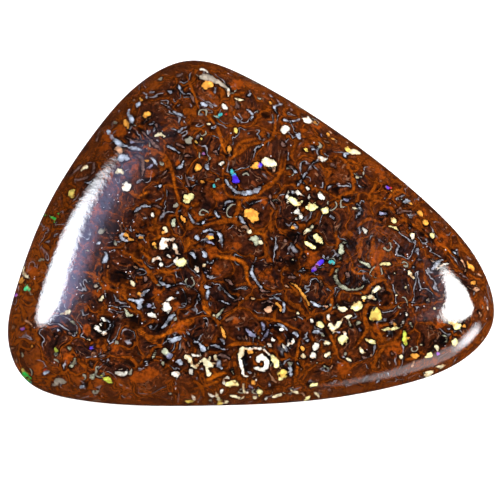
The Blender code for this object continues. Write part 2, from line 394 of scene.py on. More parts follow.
        (0.24, -10.95, -11.4, -10.6, -11.4, -10.4, -11.55, -10.2, -11.45, -10.05, -11.2),
        (0.2, -5.0, -12.85, -4.8, -13.1, -4.6, -13.25), (0.15, -3.7, -12.8, -3.4, -12.95, -3.1, -12.95),
        (0.18, 1.6, -7.95, 1.9, -8.05), (0.2, 1.0, -8.7, 1.25, -8.85),
        (0.16, 0.7, -9.05, 0.85, -9.25, 1.0, -9.3), (0.2, 2.65, -8.6, 2.65, -8.9, 2.4, -9.1, 2.2, -9.2),
        (0.15, 1.8, -9.1, 1.95, -9.4, 1.8, -9.5),
        (0.2, -1.4, -10.3, -1.3, -10.7, -1.15, -11.1, -1.1, -11.4, -0.9, -11.55, -0.75, -11.55),
        (0.16, -0.9, -9.45, -0.4, -9.45, 0.1, -9.5, 0.5, -9.65, 0.8, -9.9, 1.0, -10.0),
        (0.14, -0.1, -11.7),
        (0.36, 0.0, -10.5, 0.0, -10.25, 0.25, -10.15, 0.5, -10.3, 0.65, -10.6, 0.55, -10.95, 0.3,
         -11.1), (0.2, 0.3, -11.1, 0.05, -10.95, -0.3, -10.9),
        (0.15, -2.1, -11.65, -2.5, -11.75, -2.6, -12.0, -2.4, -12.2),
        (0.14, -0.75, -12.75, -0.5, -12.8), (0.15, 0.9, -13.05), (0.14, -2.55, -12.55, -2.65, -12.85),
        (0.13, 2.85, -12.25), (0.13, 4.05, -7.2, 4.1, -7.5), (0.2, 5.4, -6.8, 5.35, -7.1, 5.55, -7.4),
        (0.28, 6.45, -8.1, 6.65, -8.15, 6.75, -8.4), (0.13, 11.0, -7.75, 11.2, -7.4, 11.35, -7.1),
        (0.14, 11.4, -6.6, 11.4, -6.9), (0.35, 4.5, -8.95, 4.45, -9.2, 4.35, -9.5),
        (0.4, 4.4, -9.7, 4.2, -9.95, 4.4, -10.05), (0.15, 14.6, -7.15), (0.13, 14.4, -5.9),
    ],
    "cream": [
        (0.22, -8.1, 6.85, -7.3, 6.85), (0.13, -1.8, 10.05, -1.1, 9.95), (0.2, -3.9, 7.85),
        (0.3, -13.55, 4.4, -13.15, 4.75), (0.25, -11.05, 3.85, -10.85, 4.2, -10.5, 3.9),
        (0.28, -7.4, -0.3, -7.1, -0.6), (0.55, 0.3, 5.1, 0.9, 4.9, 1.35, 4.8), (0.22, 7.75, 4.05),
        (0.45, 7.5, 6.25, 8.2, 6.15), (0.12, 7.3, 1.55, 7.6, 1.5), (0.25, 12.0, -0.5),
        (0.16, -12.4, -5.98, -12.1, -5.85, -12.0, -5.6), (0.26, -15.2, -7.0, -14.8, -6.9, -14.5, -6.65),
        (0.18, -17.9, -3.0, -17.95, -3.4, -17.8, -3.8, -17.45, -4.1), (0.25, -4.3, -3.1, -4.25, -3.3),
        (0.28, -9.85, -4.45, -9.65, -4.7), (0.25, -0.85, -0.5, -0.7, -0.5), (0.3, 0.1, -1.2),
        (0.18, 3.45, -0.7, 3.6, -0.4, 4.0, -0.15, 4.3, 0.0), (0.15, 2.6, -2.7),
        (0.2, -0.6, -5.7, -0.4, -5.65), (0.13, -3.6, -6.9, -3.4, -7.05), (0.15, 3.0, -6.7),
        (0.25, 11.65, -3.3, 11.8, -3.6, 12.1, -3.9), (0.25, 9.4, -4.55, 9.1, -4.8, 8.85, -5.1),
        (0.32, 8.55, -5.3, 8.8, -5.5, 9.0, -5.6), (0.28, 6.2, -6.3, 6.6, -6.4, 7.0, -6.35),
        (0.3, -5.7, -10.25, -5.5, -10.15, -5.3, -10.3, -5.15, -10.6, -5.05, -10.85),
        (0.28, -5.05, -10.85, -4.8, -10.85, -4.6, -10.7),
        (0.2, -4.6, -10.65, -4.4, -10.5, -4.2, -10.35, -4.0, -10.4),
        (0.42, -4.15, -10.45, -3.95, -10.6, -3.9, -10.85), (0.16, -3.9, -10.35, -3.7, -10.15),
        (0.22, -3.85, -10.9, -3.6, -10.75, -3.3, -10.5), (0.25, -3.4, -10.1, -3.2, -10.3),
        (0.28, -4.0, -11.1, -3.85, -11.3, -3.8, -11.55),
        (0.42, -0.9, -9.5, -1.2, -9.6, -1.38, -9.9, -1.45, -10.2),
        (0.14, -2.0, -12.9, -1.5, -13.0, -1.1, -13.15),
        (0.15, -1.05, -12.1, -0.95, -12.5, -0.85, -12.9, -1.0, -13.1), (0.22, -0.1, -13.0, 0.1, -13.05),
        (0.15, 1.3, -12.7, 1.4, -12.95, 1.7, -12.9, 2.1, -12.8),
        (0.14, 2.7, -12.45, 3.0, -12.6, 3.4, -12.7), (0.2, -3.1, -12.7, -2.9, -13.1, -2.75, -13.3),
        (0.13, -2.4, -13.4, -2.0, -13.4), (0.25, 3.15, -10.15, 3.5, -10.0, 3.7, -10.05),
        (0.32, 5.5, -7.5, 5.65, -7.8, 5.75, -8.2), (0.4, 5.8, -7.9),
        (0.26, 5.8, -8.2, 6.0, -7.75, 6.2, -7.5, 6.5, -7.1),
        (0.15, 6.5, -7.0, 6.8, -7.0, 7.1, -6.9, 7.2, -6.85),
        (0.25, 5.05, -8.95, 5.3, -8.95, 5.55, -9.0), (0.2, 5.2, -10.1, 5.35, -9.85, 5.75, -9.65),
        (0.18, 7.85, -9.2, 8.0, -9.5, 8.2, -9.65, 8.4, -9.65),
        (0.15, 6.85, -10.1, 7.1, -10.2, 7.25, -10.3), (0.22, 11.2, -10.0, 11.3, -9.8),
        (0.14, 4.6, -12.6, 4.9, -12.75, 5.1, -12.9), (0.18, 13.85, -9.0, 14.05, -9.15, 14.1, -9.35),
        (0.28, 13.4, -11.1, 13.8, -10.95, 14.1, -10.7), (0.18, 14.2, -10.5, 14.6, -10.45, 15.1, -10.3),
        (0.2, -13.05, -8.8, -13.1, -9.1), (0.12, -14.0, -8.4), (0.14, 12.75, -8.95), (0.14, 13.7, -6.2),
        (0.15, 11.4, -4.6), (0.13, 10.5, -3.6), (0.13, 10.7, -5.2),
    ],
    "butter": [
        (0.55, -5.45, 2.15), (0.42, 2.45, 2.2, 2.7, 1.85, 3.05, 1.7, 3.3, 1.95),
        (0.5, 3.85, 1.95, 3.9, 1.6, 4.2, 1.5, 4.35, 1.75), (0.35, 10.65, 0.95, 10.55, 0.45),
        (0.15, 10.1, 0.15, 10.6, 0.05, 10.95, -0.2), (0.5, -6.2, -3.05, -6.0, -2.95, -5.75, -2.9),
        (0.3, 3.5, -1.2, 3.8, -1.45, 4.2, -1.65, 4.4, -1.7), (0.42, 4.25, -0.75, 4.6, -1.0, 4.8, -1.25),
        (0.2, 9.4, -2.9, 9.8, -2.8, 10.3, -2.85), (0.62, 7.3, -6.2, 7.6, -6.1, 7.85, -5.8),
        (0.25, 8.0, -5.55, 8.1, -5.4), (0.3, 7.7, -6.35),
        (0.45, 1.0, -10.0, 1.2, -10.2, 1.4, -10.5, 1.35, -10.9), (0.3, 1.7, -11.55, 2.0, -11.6),
        (0.42, -2.3, -12.2, -1.9, -12.1, -1.4, -12.25), (0.25, -1.9, -11.95),
        (0.3, 0.2, -12.65, 0.5, -12.75), (0.2, 4.3, -12.85, 4.1, -13.1, 3.95, -13.2),
        (0.42, 4.35, -7.7, 4.6, -7.55, 4.9, -7.75), (0.52, 6.15, -8.75, 6.5, -8.7, 6.75, -8.55),
        (0.22, 8.25, -8.6, 8.5, -8.75, 8.9, -8.85, 9.1, -9.0),
        (0.16, 9.5, -7.95, 10.0, -7.9, 10.5, -7.85, 11.0, -7.75),
        (0.2, 4.1, -12.2, 4.5, -12.05, 4.85, -12.05), (0.32, 13.2, -9.8, 13.5, -9.75, 13.7, -9.75),
        (0.42, 15.25, -8.65, 15.5, -8.75, 15.5, -8.9), (0.3, 13.75, -0.2, 13.65, -0.65),
        (0.45, 14.8, -7.2, 15.3, -7.35, 15.8, -7.6), (0.3, 4.85, 1.15, 5.2, 1.3, 5.4, 1.65),
    ],
    "straw": [
        (0.2, -3.95, 10.95), (0.25, -4.85, 6.5), (0.15, -4.5, 6.7), (0.3, -1.9, 7.4),
        (0.4, -14.4, 2.7, -14.15, 2.2), (0.35, -7.95, -1.7), (0.75, 9.1, -6.55, 9.15, -7.0),
        (0.5, 1.75, -11.4, 2.0, -11.3, 2.1, -11.1), (0.14, -5.4, -13.35, -5.0, -13.35, -4.7, -13.3),
        (0.35, -2.75, -13.35, -2.7, -13.6), (0.35, 7.05, 6.5, 7.4, 6.35), (0.25, -17.85, -11.05),
        (0.13, 0.3, -12.9), (0.15, 3.5, 6.1, 3.85, 5.9),
    ],
    "sage": [
        (0.2, -11.1, 8.3, -10.9, 8.2), (0.42, -6.6, 0.35, -6.6, -0.1), (0.25, 4.2, 0.1, 3.6, -0.4),
        (0.2, -16.85, -2.8, -16.45, -2.65), (0.13, -17.5, -5.1, -17.3, -5.4),
        (0.14, -14.35, -4.0, -14.1, -4.3), (0.24, -14.45, -7.6, -14.2, -7.8),
        (0.28, -10.35, -6.5, -10.2, -6.9, -9.95, -7.12, -9.6, -7.05),
        (0.4, -0.8, -1.1, -0.4, -1.1, 0.0, -1.05), (0.4, -0.3, -1.1, -0.25, -1.5),
        (0.22, -2.7, -6.4, -3.0, -6.75, -3.3, -7.15), (0.15, 6.5, -1.2, 6.8, -1.2),
        (0.46, 6.4, -1.4, 6.35, -1.8, 6.4, -2.15), (0.13, 6.4, -2.2, 6.4, -2.65),
        (0.24, 7.7, -2.5, 8.0, -2.75, 8.4, -2.9, 8.7, -3.1), (0.35, 6.05, -6.0, 6.1, -6.2),
        (0.24, 6.1, -3.3, 5.9, -3.6, 5.9, -4.0, 6.1, -4.4, 6.5, -4.7, 7.1, -4.85, 7.7, -4.8, 8.1,
         -4.55, 8.4, -4.05), (0.28, -14.65, -9.55, -14.4, -9.6),
        (0.34, -14.35, -10.9, -14.1, -10.55, -13.9, -10.3), (0.4, -12.75, -11.65, -12.65, -11.85),
        (0.2, -18.1, -9.95), (0.22, -7.5, -10.6, -7.3, -10.8),
        (0.13, -7.95, -9.7, -8.05, -10.1, -8.25, -10.4), (0.13, -3.65, -13.25, -3.3, -13.1),
        (0.25, 2.4, -10.5, 2.45, -10.75), (0.15, 6.85, -7.1, 7.0, -7.4, 7.15, -7.75),
        (0.35, 7.5, -7.5, 7.75, -7.35), (0.13, 5.1, -10.7, 5.4, -10.8, 5.65, -10.95),
        (0.14, 14.35, -8.2, 14.65, -8.3, 14.75, -8.6, 14.6, -8.85),
        (0.14, 11.8, -7.3, 11.8, -7.55, 12.0, -7.75), (0.22, -1.9, -11.2),
        (0.25, 4.8, -8.35, 5.0, -8.45), (0.5, -7.35, -9.75, -7.1, -9.9), (0.13, 6.3, 7.1, 6.25, 6.7),
    ],
    "peach": [
        (0.15, -9.5, 10.0), (0.45, -11.1, 5.9, -10.6, 5.7), (0.18, -1.5, -0.2, -0.85, -0.4),
        (0.2, 5.8, 7.9, 5.9, 7.65), (0.15, -11.65, -3.45, -11.55, -3.2), (0.14, -12.1, -3.6),
        (0.16, -17.9, -7.3, -17.5, -7.6, -17.3, -7.9), (0.18, -6.2, -2.4),
        (0.16, -9.75, -3.2, -9.5, -3.4, -9.4, -3.5), (0.13, -3.8, -3.6),
        (0.16, -1.6, -0.25, -1.2, -0.45), (0.14, 2.15, -4.7),
        (0.5, 0.45, -6.45, 0.8, -6.5, 0.95, -6.35), (0.13, 2.7, -7.2), (0.2, 5.0, -6.2, 5.3, -6.15),
        (0.14, 9.8, -0.75, 9.9, -0.95), (0.2, 4.7, -4.2, 4.75, -4.6), (0.13, 10.15, -3.5),
        (0.14, 16.9, -3.3, 17.5, -3.3, 17.8, -3.4),
        (0.14, 15.9, -2.1, 16.1, -2.4, 16.3, -2.9, 16.2, -3.3), (0.15, 13.4, -2.4, 13.6, -2.5),
        (0.35, 14.2, -5.3), (0.13, 16.4, -4.4, 16.8, -4.6, 17.1, -4.45, 17.3, -4.2),
        (0.13, 17.0, -4.75, 17.3, -4.6, 17.5, -4.45), (0.24, 17.3, -6.3, 17.45, -6.8),
        (0.15, -18.8, -7.6, -18.8, -7.9), (0.18, -18.8, -9.4), (0.13, 13.5, -7.7), (0.14, 12.95, -7.05),
        (0.14, 13.6, -5.35), (0.13, -13.1, -12.6), (0.13, -0.2, -11.3, -0.45, -11.6),
        (0.15, 0.8, -11.15, 1.1, -11.55, 1.4, -11.9, 1.8, -12.0),
        (0.12, 1.4, -11.35, 1.7, -11.0, 1.9, -10.7), (0.13, 3.4, -12.7, 3.9, -13.0), (0.14, 3.3, -11.0),
        (0.12, 5.65, -10.95, 5.9, -10.6), (0.13, 8.7, -9.8, 8.9, -9.9), (0.14, 9.5, -10.3),
        (0.13, 9.5, -10.5, 9.45, -10.8), (0.16, 10.25, -10.2, 10.4, -10.5), (0.3, 12.2, -10.35),
        (0.16, 13.7, 1.8, 13.9, 1.6), (0.15, 15.0, 0.4), (0.14, 7.2, 7.0), (0.13, 6.3, 7.7),
        (0.25, 1.1, 4.5, 1.1, 4.2), (0.18, 17.9, -8.2), (0.14, 5.2, 6.95, 5.6, 6.8),
        (0.14, 14.35, -0.75),
    ],
    "dusk": [
        (0.16, -12.1, 7.8, -12.35, 7.1, -12.4, 6.7), (0.18, -12.65, 5.2, -12.7, 4.5, -12.8, 4.1),
        (0.16, -14.15, 3.65, -13.65, 3.65, -13.05, 3.9, -12.65, 4.25),
        (0.15, -13.5, 4.9, -13.95, 4.5, -14.35, 4.1),
        (0.16, -9.7, 5.45, -9.2, 5.25, -8.95, 4.75, -8.95, 4.1, -9.1, 3.7),
        (0.2, -9.2, 7.5, -8.6, 6.8, -8.0, 6.15, -7.5, 5.7), (0.16, -8.7, 6.4, -9.7, 6.55, -10.2, 6.85),
        (0.16, 10.9, 1.2, 11.45, 1.45, 12.25, 1.45), (0.2, -11.1, 8.3, -11.15, 7.9),
        (0.14, -5.3, 10.3, -5.2, 10.1, -5.0, 9.5), (0.25, -6.25, 12.05, -5.8, 12.1),
        (0.13, -8.9, 8.0, -8.3, 8.4), (0.13, -7.9, 7.9, -7.75, 7.2), (0.25, -1.7, 9.7, -1.75, 9.2),
        (0.25, 2.6, 9.55, 2.8, 9.4), (0.13, 0.25, 6.65, 0.65, 6.95, 1.05, 7.0), (0.3, 2.0, 6.45),
        (0.15, -15.6, 1.8, -15.5, 1.9), (0.15, -15.2, 2.3),
        (0.12, -12.35, 0.4, -11.9, -0.4, -11.4, -1.1), (0.12, -12.0, -0.2, -11.6, -0.8, -11.2, -1.35),
        (0.13, -9.0, 5.2, -9.05, 4.2, -9.1, 3.7), (0.14, -8.15, 3.45, -7.5, 3.8, -7.1, 4.2),
        (0.13, -8.4, 1.5, -7.8, 1.35, -7.3, 1.0), (0.13, -5.85, 5.35, -5.0, 5.25),
        (0.15, -6.4, 6.25, -5.8, 6.0), (0.13, -4.35, 2.9, -4.45, 2.5),
        (0.14, -5.75, 3.85, -5.5, 3.2, -5.3, 2.7), (0.13, 3.55, 4.05, 4.25, 4.6),
        (0.14, 2.2, 4.75, 2.6, 4.6, 2.85, 4.35), (0.15, 0.85, 2.6, 0.9, 1.9, 1.25, 1.3),
        (0.15, 1.25, 1.9, 1.5, 1.8), (0.13, -2.6, 5.4, -2.2, 5.55), (0.14, -3.6, 5.7, -3.2, 5.45),
        (0.35, 5.9, 5.25, 6.05, 4.75), (0.13, 11.4, 1.95, 11.05, 1.6, 10.7, 1.2),
        (0.25, -8.85, -4.1, -8.8, -4.4), (0.12, -9.4, -3.85, -9.1, -3.75),
        (0.13, -5.5, -5.65, -5.45, -5.9, -5.3, -6.1), (0.13, -5.3, -5.65),
        (0.12, 0.1, -4.95, 0.4, -5.1, 0.8, -5.1), (0.2, 0.9, -3.1), (0.13, 1.6, -2.7, 1.65, -2.5),
        (0.15, 1.5, -3.4), (0.13, 2.4, -2.0, 2.7, -2.4, 2.9, -2.7), (0.13, 3.4, -2.3, 3.5, -2.7),
        (0.12, 2.1, -2.7, 2.3, -3.1), (0.13, 2.2, -3.95, 2.6, -4.0, 2.95, -4.0),
        (0.16, -2.65, -4.25, -2.3, -4.35, -2.1, -4.6), (0.14, 3.0, -0.7, 2.8, -1.2, 2.5, -1.45),
        (0.12, -2.0, -5.85, -1.6, -5.75, -1.4, -5.55), (0.14, 1.95, -3.7), (0.14, 8.5, -1.2),
        (0.25, 6.7, -3.6, 6.9, -3.9), (0.22, 1.9, -1.3, 2.2, -1.2),
        (0.13, 6.5, -5.8, 6.8, -5.9, 7.2, -6.0), (0.16, -14.5, -8.4, -14.4, -8.55),
        (0.12, -14.1, -12.3, -13.9, -12.3), (0.2, -11.9, -10.2), (0.15, -11.5, -10.75),
        (0.25, -11.5, -9.5, -11.4, -9.65), (0.15, -15.7, -8.5, -15.4, -8.65),
        (0.12, -5.4, -9.0, -5.3, -9.4), (0.12, -10.2, -8.5, -9.8, -8.8),
        (0.14, -1.7, -8.6, -1.4, -8.85), (0.12, -2.9, -10.2, -2.5, -10.1, -2.2, -10.3),
        (0.12, -3.2, -10.1, -2.9, -10.0, -2.5, -10.0), (0.12, 0.2, -6.0, 0.7, -5.85, 1.1, -6.0),
        (0.13, 2.2, -8.9), (0.13, 8.1, -9.9, 8.5, -9.9), (0.13, 10.4, -9.6, 10.6, -9.75),
        (0.13, 4.55, -11.6, 4.7, -11.75, 4.95, -11.7), (0.13, 14.3, -8.6, 14.4, -8.75),
        (0.12, 13.85, -8.5, 13.95, -8.7), (0.2, 16.4, -1.9, 17.0, -2.1), (0.12, 14.5, 0.2, 14.9, 0.25),
        (0.13, -15.5, -7.55), (0.16, 5.6, -12.4, 5.9, -12.45), (0.14, 9.6, -4.5, 9.5, -5.0),
        (0.25, -13.0, -10.6, -12.7, -10.9),
    ],
    "lavender": [
        (0.2, -9.9, 6.4, -9.6, 6.4), (0.18, -8.75, 4.35, -8.3, 4.7), (0.35, 9.5, 1.15, 10.1, 1.35),
        (0.2, 6.5, 2.3, 7.15, 2.3), (0.3, -8.5, -6.25, -8.45, -6.4), (0.24, -3.9, -0.7, -3.5, -0.75),
        (0.18, -4.1, -1.25, -3.7, -1.4, -3.5, -1.5), (0.13, -4.1, -3.4, -4.05, -3.8),
        (0.28, 0.2, -7.5, 0.35, -7.8, 0.35, -8.1), (0.18, 0.9, -7.7, 0.65, -8.2, 0.45, -8.6, 0.2, -8.9),
        (0.36, -1.15, -7.95, -0.85, -8.15, -0.5, -8.45, -0.1, -8.55), (0.2, -0.6, -12.3, -0.3, -12.5),
        (0.14, 3.7, -3.6), (0.13, -12.75, -9.5, -12.5, -9.3), (0.13, 7.6, -7.8, 7.95, -8.0),
        (0.15, 6.1, -8.2, 6.4, -8.2), (0.35, -7.0, -10.1, -6.75, -10.05), (0.15, 5.1, 7.5, 5.15, 7.2),
    ],
    "stone": [
        (0.6, -4.7, 11.85, -4.2, 11.7, -3.6, 11.7, -3.0, 11.3, -2.5, 11.0),
        (0.3, -12.6, -4.8, -12.5, -4.9), (0.13, -13.0, -4.5), (0.4, 13.2, -5.45, 13.2, -5.65),
        (0.13, -15.2, -11.65), (0.32, -15.18, -11.95), (0.55, -15.2, -12.25),
        (0.13, 9.7, -4.5, 9.5, -5.0),
    ],
    "violet": [
        (0.22, -4.3, 5.6), (0.3, -1.95, 3.9, -1.55, 3.35), (0.26, 0.03, 4.75), (0.3, 10.2, 3.35),
        (0.4, 4.35, -3.2, 4.1, -3.4), (0.34, 4.3, -3.25, 4.6, -2.9, 4.95, -2.6),
        (0.25, -12.95, -9.6, -12.8, -9.7),
    ],
    "iris": [
        (0.16, -17.6, -1.7), (0.22, -18.5, -5.3), (0.22, -18.2, -8.0, -17.95, -8.0), (0.2, 14.2, -9.65),
    ],
    "sea": [
        (0.2, -3.6, 8.55, -2.85, 8.85), (0.2, -2.15, 4.35, -1.85, 4.0), (0.16, -3.5, 3.0),
        (0.3, 5.9, -2.7, 5.5, -2.7), (0.14, -17.3, -12.0),
    ],
    "leaf": [
        (0.16, -15.95, 0.8, -15.65, 0.25), (0.12, -15.3, 0.95), (0.4, -17.8, -11.25, -17.6, -11.5),
        (0.28, -17.45, -11.8), (0.14, -16.25, 1.0),
    ],
    "mint": [
        (0.42, -17.6, -4.75),
    ],
    "lime": [
        (0.2, -15.65, -9.45, -15.5, -9.75, -15.55, -10.0),
        (0.3, -12.05, -11.55, -11.8, -11.7, -11.5, -11.9, -11.1, -12.1),
        (0.3, 11.35, -8.0, 11.35, -8.4, 11.45, -8.8, 11.5, -9.0),
    ],
    "fire": [
        (0.15, -2.55, 8.75), (0.16, 10.5, 3.3), (0.2, -16.45, -11.2, -16.2, -11.15),
    ],
    "amber": [
        (0.4, -8.8, 8.5, -8.4, 8.7), (0.25, -9.0, 10.05), (0.25, -10.3, 8.35, -10.1, 7.8, -10.05, 7.5),
        (0.65, -4.3, 11.1, -3.75, 11.0), (0.2, 1.05, 9.85), (0.3, -8.6, 4.95),
        (0.4, -4.85, 4.75, -4.85, 4.2), (0.28, -4.45, 3.2), (0.3, -6.0, 0.7, -5.7, 0.15),
        (0.2, -7.45, -0.68), (0.25, -2.3, 6.05, -2.3, 5.75), (0.45, -0.35, 4.75),
        (0.95, -0.65, 0.85, -0.25, 0.78), (0.28, 2.6, -0.2), (0.16, 10.55, 3.1), (0.35, -18.1, -4.1),
        (0.28, -10.25, -0.85), (0.15, -10.1, -1.1, -9.6, -1.2), (0.15, -9.3, -1.1, -8.9, -1.1),
        (0.3, -8.1, -1.5, -8.0, -1.65), (0.25, -9.25, -5.5),
        (0.3, -4.2, -0.85, -3.9, -0.95, -3.5, -1.05), (0.2, 1.35, -5.95, 1.6, -6.3, 1.65, -6.6),
        (0.16, 2.4, -4.4, 2.9, -4.7, 3.3, -5.2, 3.6, -5.6, 3.8, -6.0, 3.95, -6.4), (0.2, 8.05, -5.75),
        (0.4, 16.5, -2.4, 16.8, -2.7, 17.1, -3.0), (0.35, 17.0, -4.0), (0.22, 16.15, -7.5),
        (0.13, -17.3, -9.35), (0.2, -2.95, -7.8, -2.8, -8.2, -2.65, -8.6, -2.55, -8.8),
        (0.22, -0.85, -9.75, -0.5, -9.75, -0.2, -9.75), (0.25, -0.2, -12.0), (0.25, 3.4, -9.4),
        (0.16, 11.55, -8.5, 11.8, -8.6), (0.3, 12.0, -9.8, 12.3, -9.8, 12.6, -9.8), (0.25, 5.6, 7.5),
        (0.35, 12.6, 1.4, 12.9, 1.2), (0.32, 13.0, 0.6, 13.5, 0.6), (0.2, 12.0, 2.1), (0.3, 4.6, 8.4),
        (0.15, 6.0, 7.2), (0.22, 10.55, -7.42),
    ],
}

# Orange veins of the web, in the same way.
veinMarks = [
    (0.35, -10.75, 8.0, -10.6, 7.05), (0.16, 6.95, 4.7, 7.2, 5.4, 7.9, 4.95, 7.5, 4.5, 6.95, 4.7),
    (0.18, -2.85, 4.6, -2.8, 3.6, -2.75, 2.9, -2.4, 2.3, -1.5, 2.15, -0.4, 2.3, 0.4, 2.85, 0.95, 3.2,
     1.5, 3.85, 1.95, 4.6, 2.1, 5.3), (0.18, -2.4, 5.1, -1.5, 5.7, -0.7, 6.3, 0.5, 6.55),
    (0.18, -1.6, 1.95, -1.5, 1.45, -1.85, 0.75, -2.0, 0.2), (0.18, -3.3, 0.1, -2.5, 0.25, -2.0, 0.2),
    (0.16, -7.6, 5.3, -7.25, 4.8, -7.0, 4.3), (0.3, -10.0, 2.4, -8.5, 2.55),
    (0.2, 2.2, -4.5, 3.2, -5.2, 3.65, -6.1, 4.0, -6.85),
    (0.2, 3.6, -6.9, 4.5, -6.8, 5.1, -6.75, 5.6, -6.2, 5.6, -5.5, 5.5, -4.9),
    (0.18, 5.1, -6.8, 5.2, -7.8, 5.65, -8.6, 6.0, -9.4, 6.3, -10.1),
    (0.2, 6.0, -5.2, 6.5, -5.05, 7.4, -5.1, 8.2, -5.1, 8.6, -4.6, 8.9, -4.35, 9.8, -4.05),
    (0.28, 8.9, -0.9, 8.85, -1.6, 8.8, -2.3, 9.2, -2.8, 9.3, -3.3),
    (0.16, 7.1, -3.0, 7.3, -3.4, 7.6, -3.6, 8.3, -3.6, 8.6, -3.6),
    (0.16, 6.2, -0.9, 6.0, -1.6, 5.8, -1.9), (0.2, 6.3, -3.0, 5.8, -3.3, 5.4, -3.8),
    (0.2, 7.1, -2.9, 7.7, -2.4, 8.0, -1.3),
    (0.25, 8.6, -5.9, 8.35, -6.2, 8.2, -6.7, 8.25, -7.2, 8.4, -7.9, 8.0, -8.6, 7.4, -9.4),
    (0.18, 11.7, -7.1, 11.3, -7.6, 10.9, -8.3, 10.4, -8.9), (0.22, 8.4, -7.6, 9.1, -8.0, 9.6, -8.4),
    (0.22, -0.8, -0.8, -0.4, -0.65, 0.2, -0.65, 0.65, -0.95),
    (0.25, -3.0, -2.3, -2.2, -2.5, -1.4, -2.8, -1.0, -3.3, -0.95, -4.1, -0.6, -4.8),
    (0.16, 0.0, -7.1, 0.6, -7.2, 1.3, -7.35, 2.0, -7.6, 2.6, -7.85, 3.2, -8.1),
    (0.2, 3.2, -8.2, 3.1, -9.2, 3.0, -10.3, 3.1, -11.2, 2.9, -11.9),
    (0.2, -10.0, -7.6, -9.5, -7.8, -9.0, -8.25, -8.6, -8.6, -8.2, -8.6),
    (0.26, -7.4, -8.55, -6.8, -8.35, -6.4, -8.0, -6.1, -7.7, -5.6, -7.5, -5.2, -7.35),
    (0.18, -9.0, -7.0, -8.7, -7.5), (0.25, -4.2, -4.2, -4.3, -5.4, -4.2, -6.5, -3.6, -7.1, -3.0, -7.8),
    (0.14, -8.9, -8.7, -8.4, -9.0, -7.9, -9.2, -7.6, -9.4),
    (0.22, -7.0, -10.7, -6.6, -10.3, -6.4, -10.1), (0.3, -6.2, -8.3, -5.85, -7.9),
    (0.25, -9.0, -3.0, -8.6, -3.6, -8.2, -4.2, -7.7, -4.8), (0.2, -10.0, -2.3, -9.6, -2.7, -9.0, -2.9),
    (0.16, -13.6, -3.7, -12.8, -3.95, -12.4, -4.3, -12.05, -4.65),
    (0.3, -5.5, -1.0, -5.5, -1.5, -5.8, -2.2), (0.2, -8.3, -1.3, -7.6, -0.95, -6.9, -0.85),
    (0.3, -3.9, -11.9, -3.2, -11.5, -2.4, -11.3),
    (0.2, -3.9, -9.75, -3.0, -9.8, -2.0, -9.2, -1.0, -9.15, 0.0, -9.2, 1.0, -9.5),
    (0.18, 1.4, -8.6, 1.65, -8.9, 1.5, -9.3), (0.2, -4.9, -11.9, -4.3, -12.3, -4.0, -13.0),
    (0.2, -4.6, 9.05, -3.6, 8.1, -3.05, 7.1, -2.8, 6.1, -2.2, 5.0),
    (0.16, -2.2, 5.0, -1.5, 6.4, 0.1, 6.9),
    (0.18, -8.9, 6.1, -7.5, 5.5, -6.8, 4.3, -6.5, 2.8, -6.2, 1.7, -6.4, 0.6, -5.8, -0.5),
    (0.16, -6.2, 1.7, -4.6, 1.7), (0.16, -4.7, -0.2, -3.2, 0.25, -1.9, 0.6, -1.5, 1.7, 0.1, 2.2),
    (0.18, -5.5, 11.9, -5.0, 10.1, -4.6, 9.0),
    (0.16, -1.4, 6.2, 0.0, 6.5, 1.0, 6.9, 1.3, 7.8, 1.4, 8.9),
    (0.16, 1.8, 5.4, 1.5, 4.0, 0.7, 3.2, -1.5, 2.2),
    (0.16, 5.5, 2.0, 6.3, 2.4, 7.4, 3.0, 7.2, 4.6, 6.8, 5.4), (0.16, 7.6, 0.0, 9.6, 0.4),
    (0.16, 8.9, -0.8, 9.0, -2.0, 9.6, -3.0, 9.9, -3.6), (0.16, 6.0, -0.3, 6.1, -1.1),
    (0.16, 3.4, -2.0, 4.3, -2.0, 5.1, -1.5), (0.16, -9.4, -1.9, -8.5, -2.6, -7.6, -3.2),
    (0.16, -8.3, -2.9, -7.4, -3.7, -6.1, -3.5), (0.18, -4.0, -2.3, -1.6, -2.8, -0.9, -3.5),
    (0.16, -4.2, -4.5, -4.4, -6.0, -3.4, -7.2, -2.7, -8.8), (0.2, -10.7, -5.3, -9.2, -6.9, -8.6, -7.8),
    (0.2, -10.5, -7.4, -8.9, -8.6, -7.4, -8.6, -6.1, -7.6, -5.0, -7.2),
    (0.16, -13.2, -4.0, -12.0, -4.8, -10.6, -5.5),
    (0.16, -8.9, -8.6, -7.6, -9.4, -6.5, -10.3, -7.4, -11.2),
    (0.16, -5.1, -12.6, -3.5, -12.1, -2.4, -11.6), (0.18, 10.0, 2.2, 11.0, 3.2, 12.0, 2.8),
    (0.16, 9.4, 4.6, 9.2, 3.4, 8.6, 2.6), (0.18, 11.2, 0.8, 12.4, 0.2, 13.3, -0.6),
    (0.16, 15.9, -0.4, 16.4, -1.4, 17.2, -2.2), (0.2, 13.8, -0.9, 14.6, -1.3, 15.4, -2.0),
    (0.18, 16.6, -3.4, 17.2, -3.7, 17.9, -3.6), (0.2, 10.0, -9.0, 9.4, -9.8, 9.0, -10.8),
    (0.2, 12.9, -9.4, 12.4, -9.9, 11.6, -10.1),
]

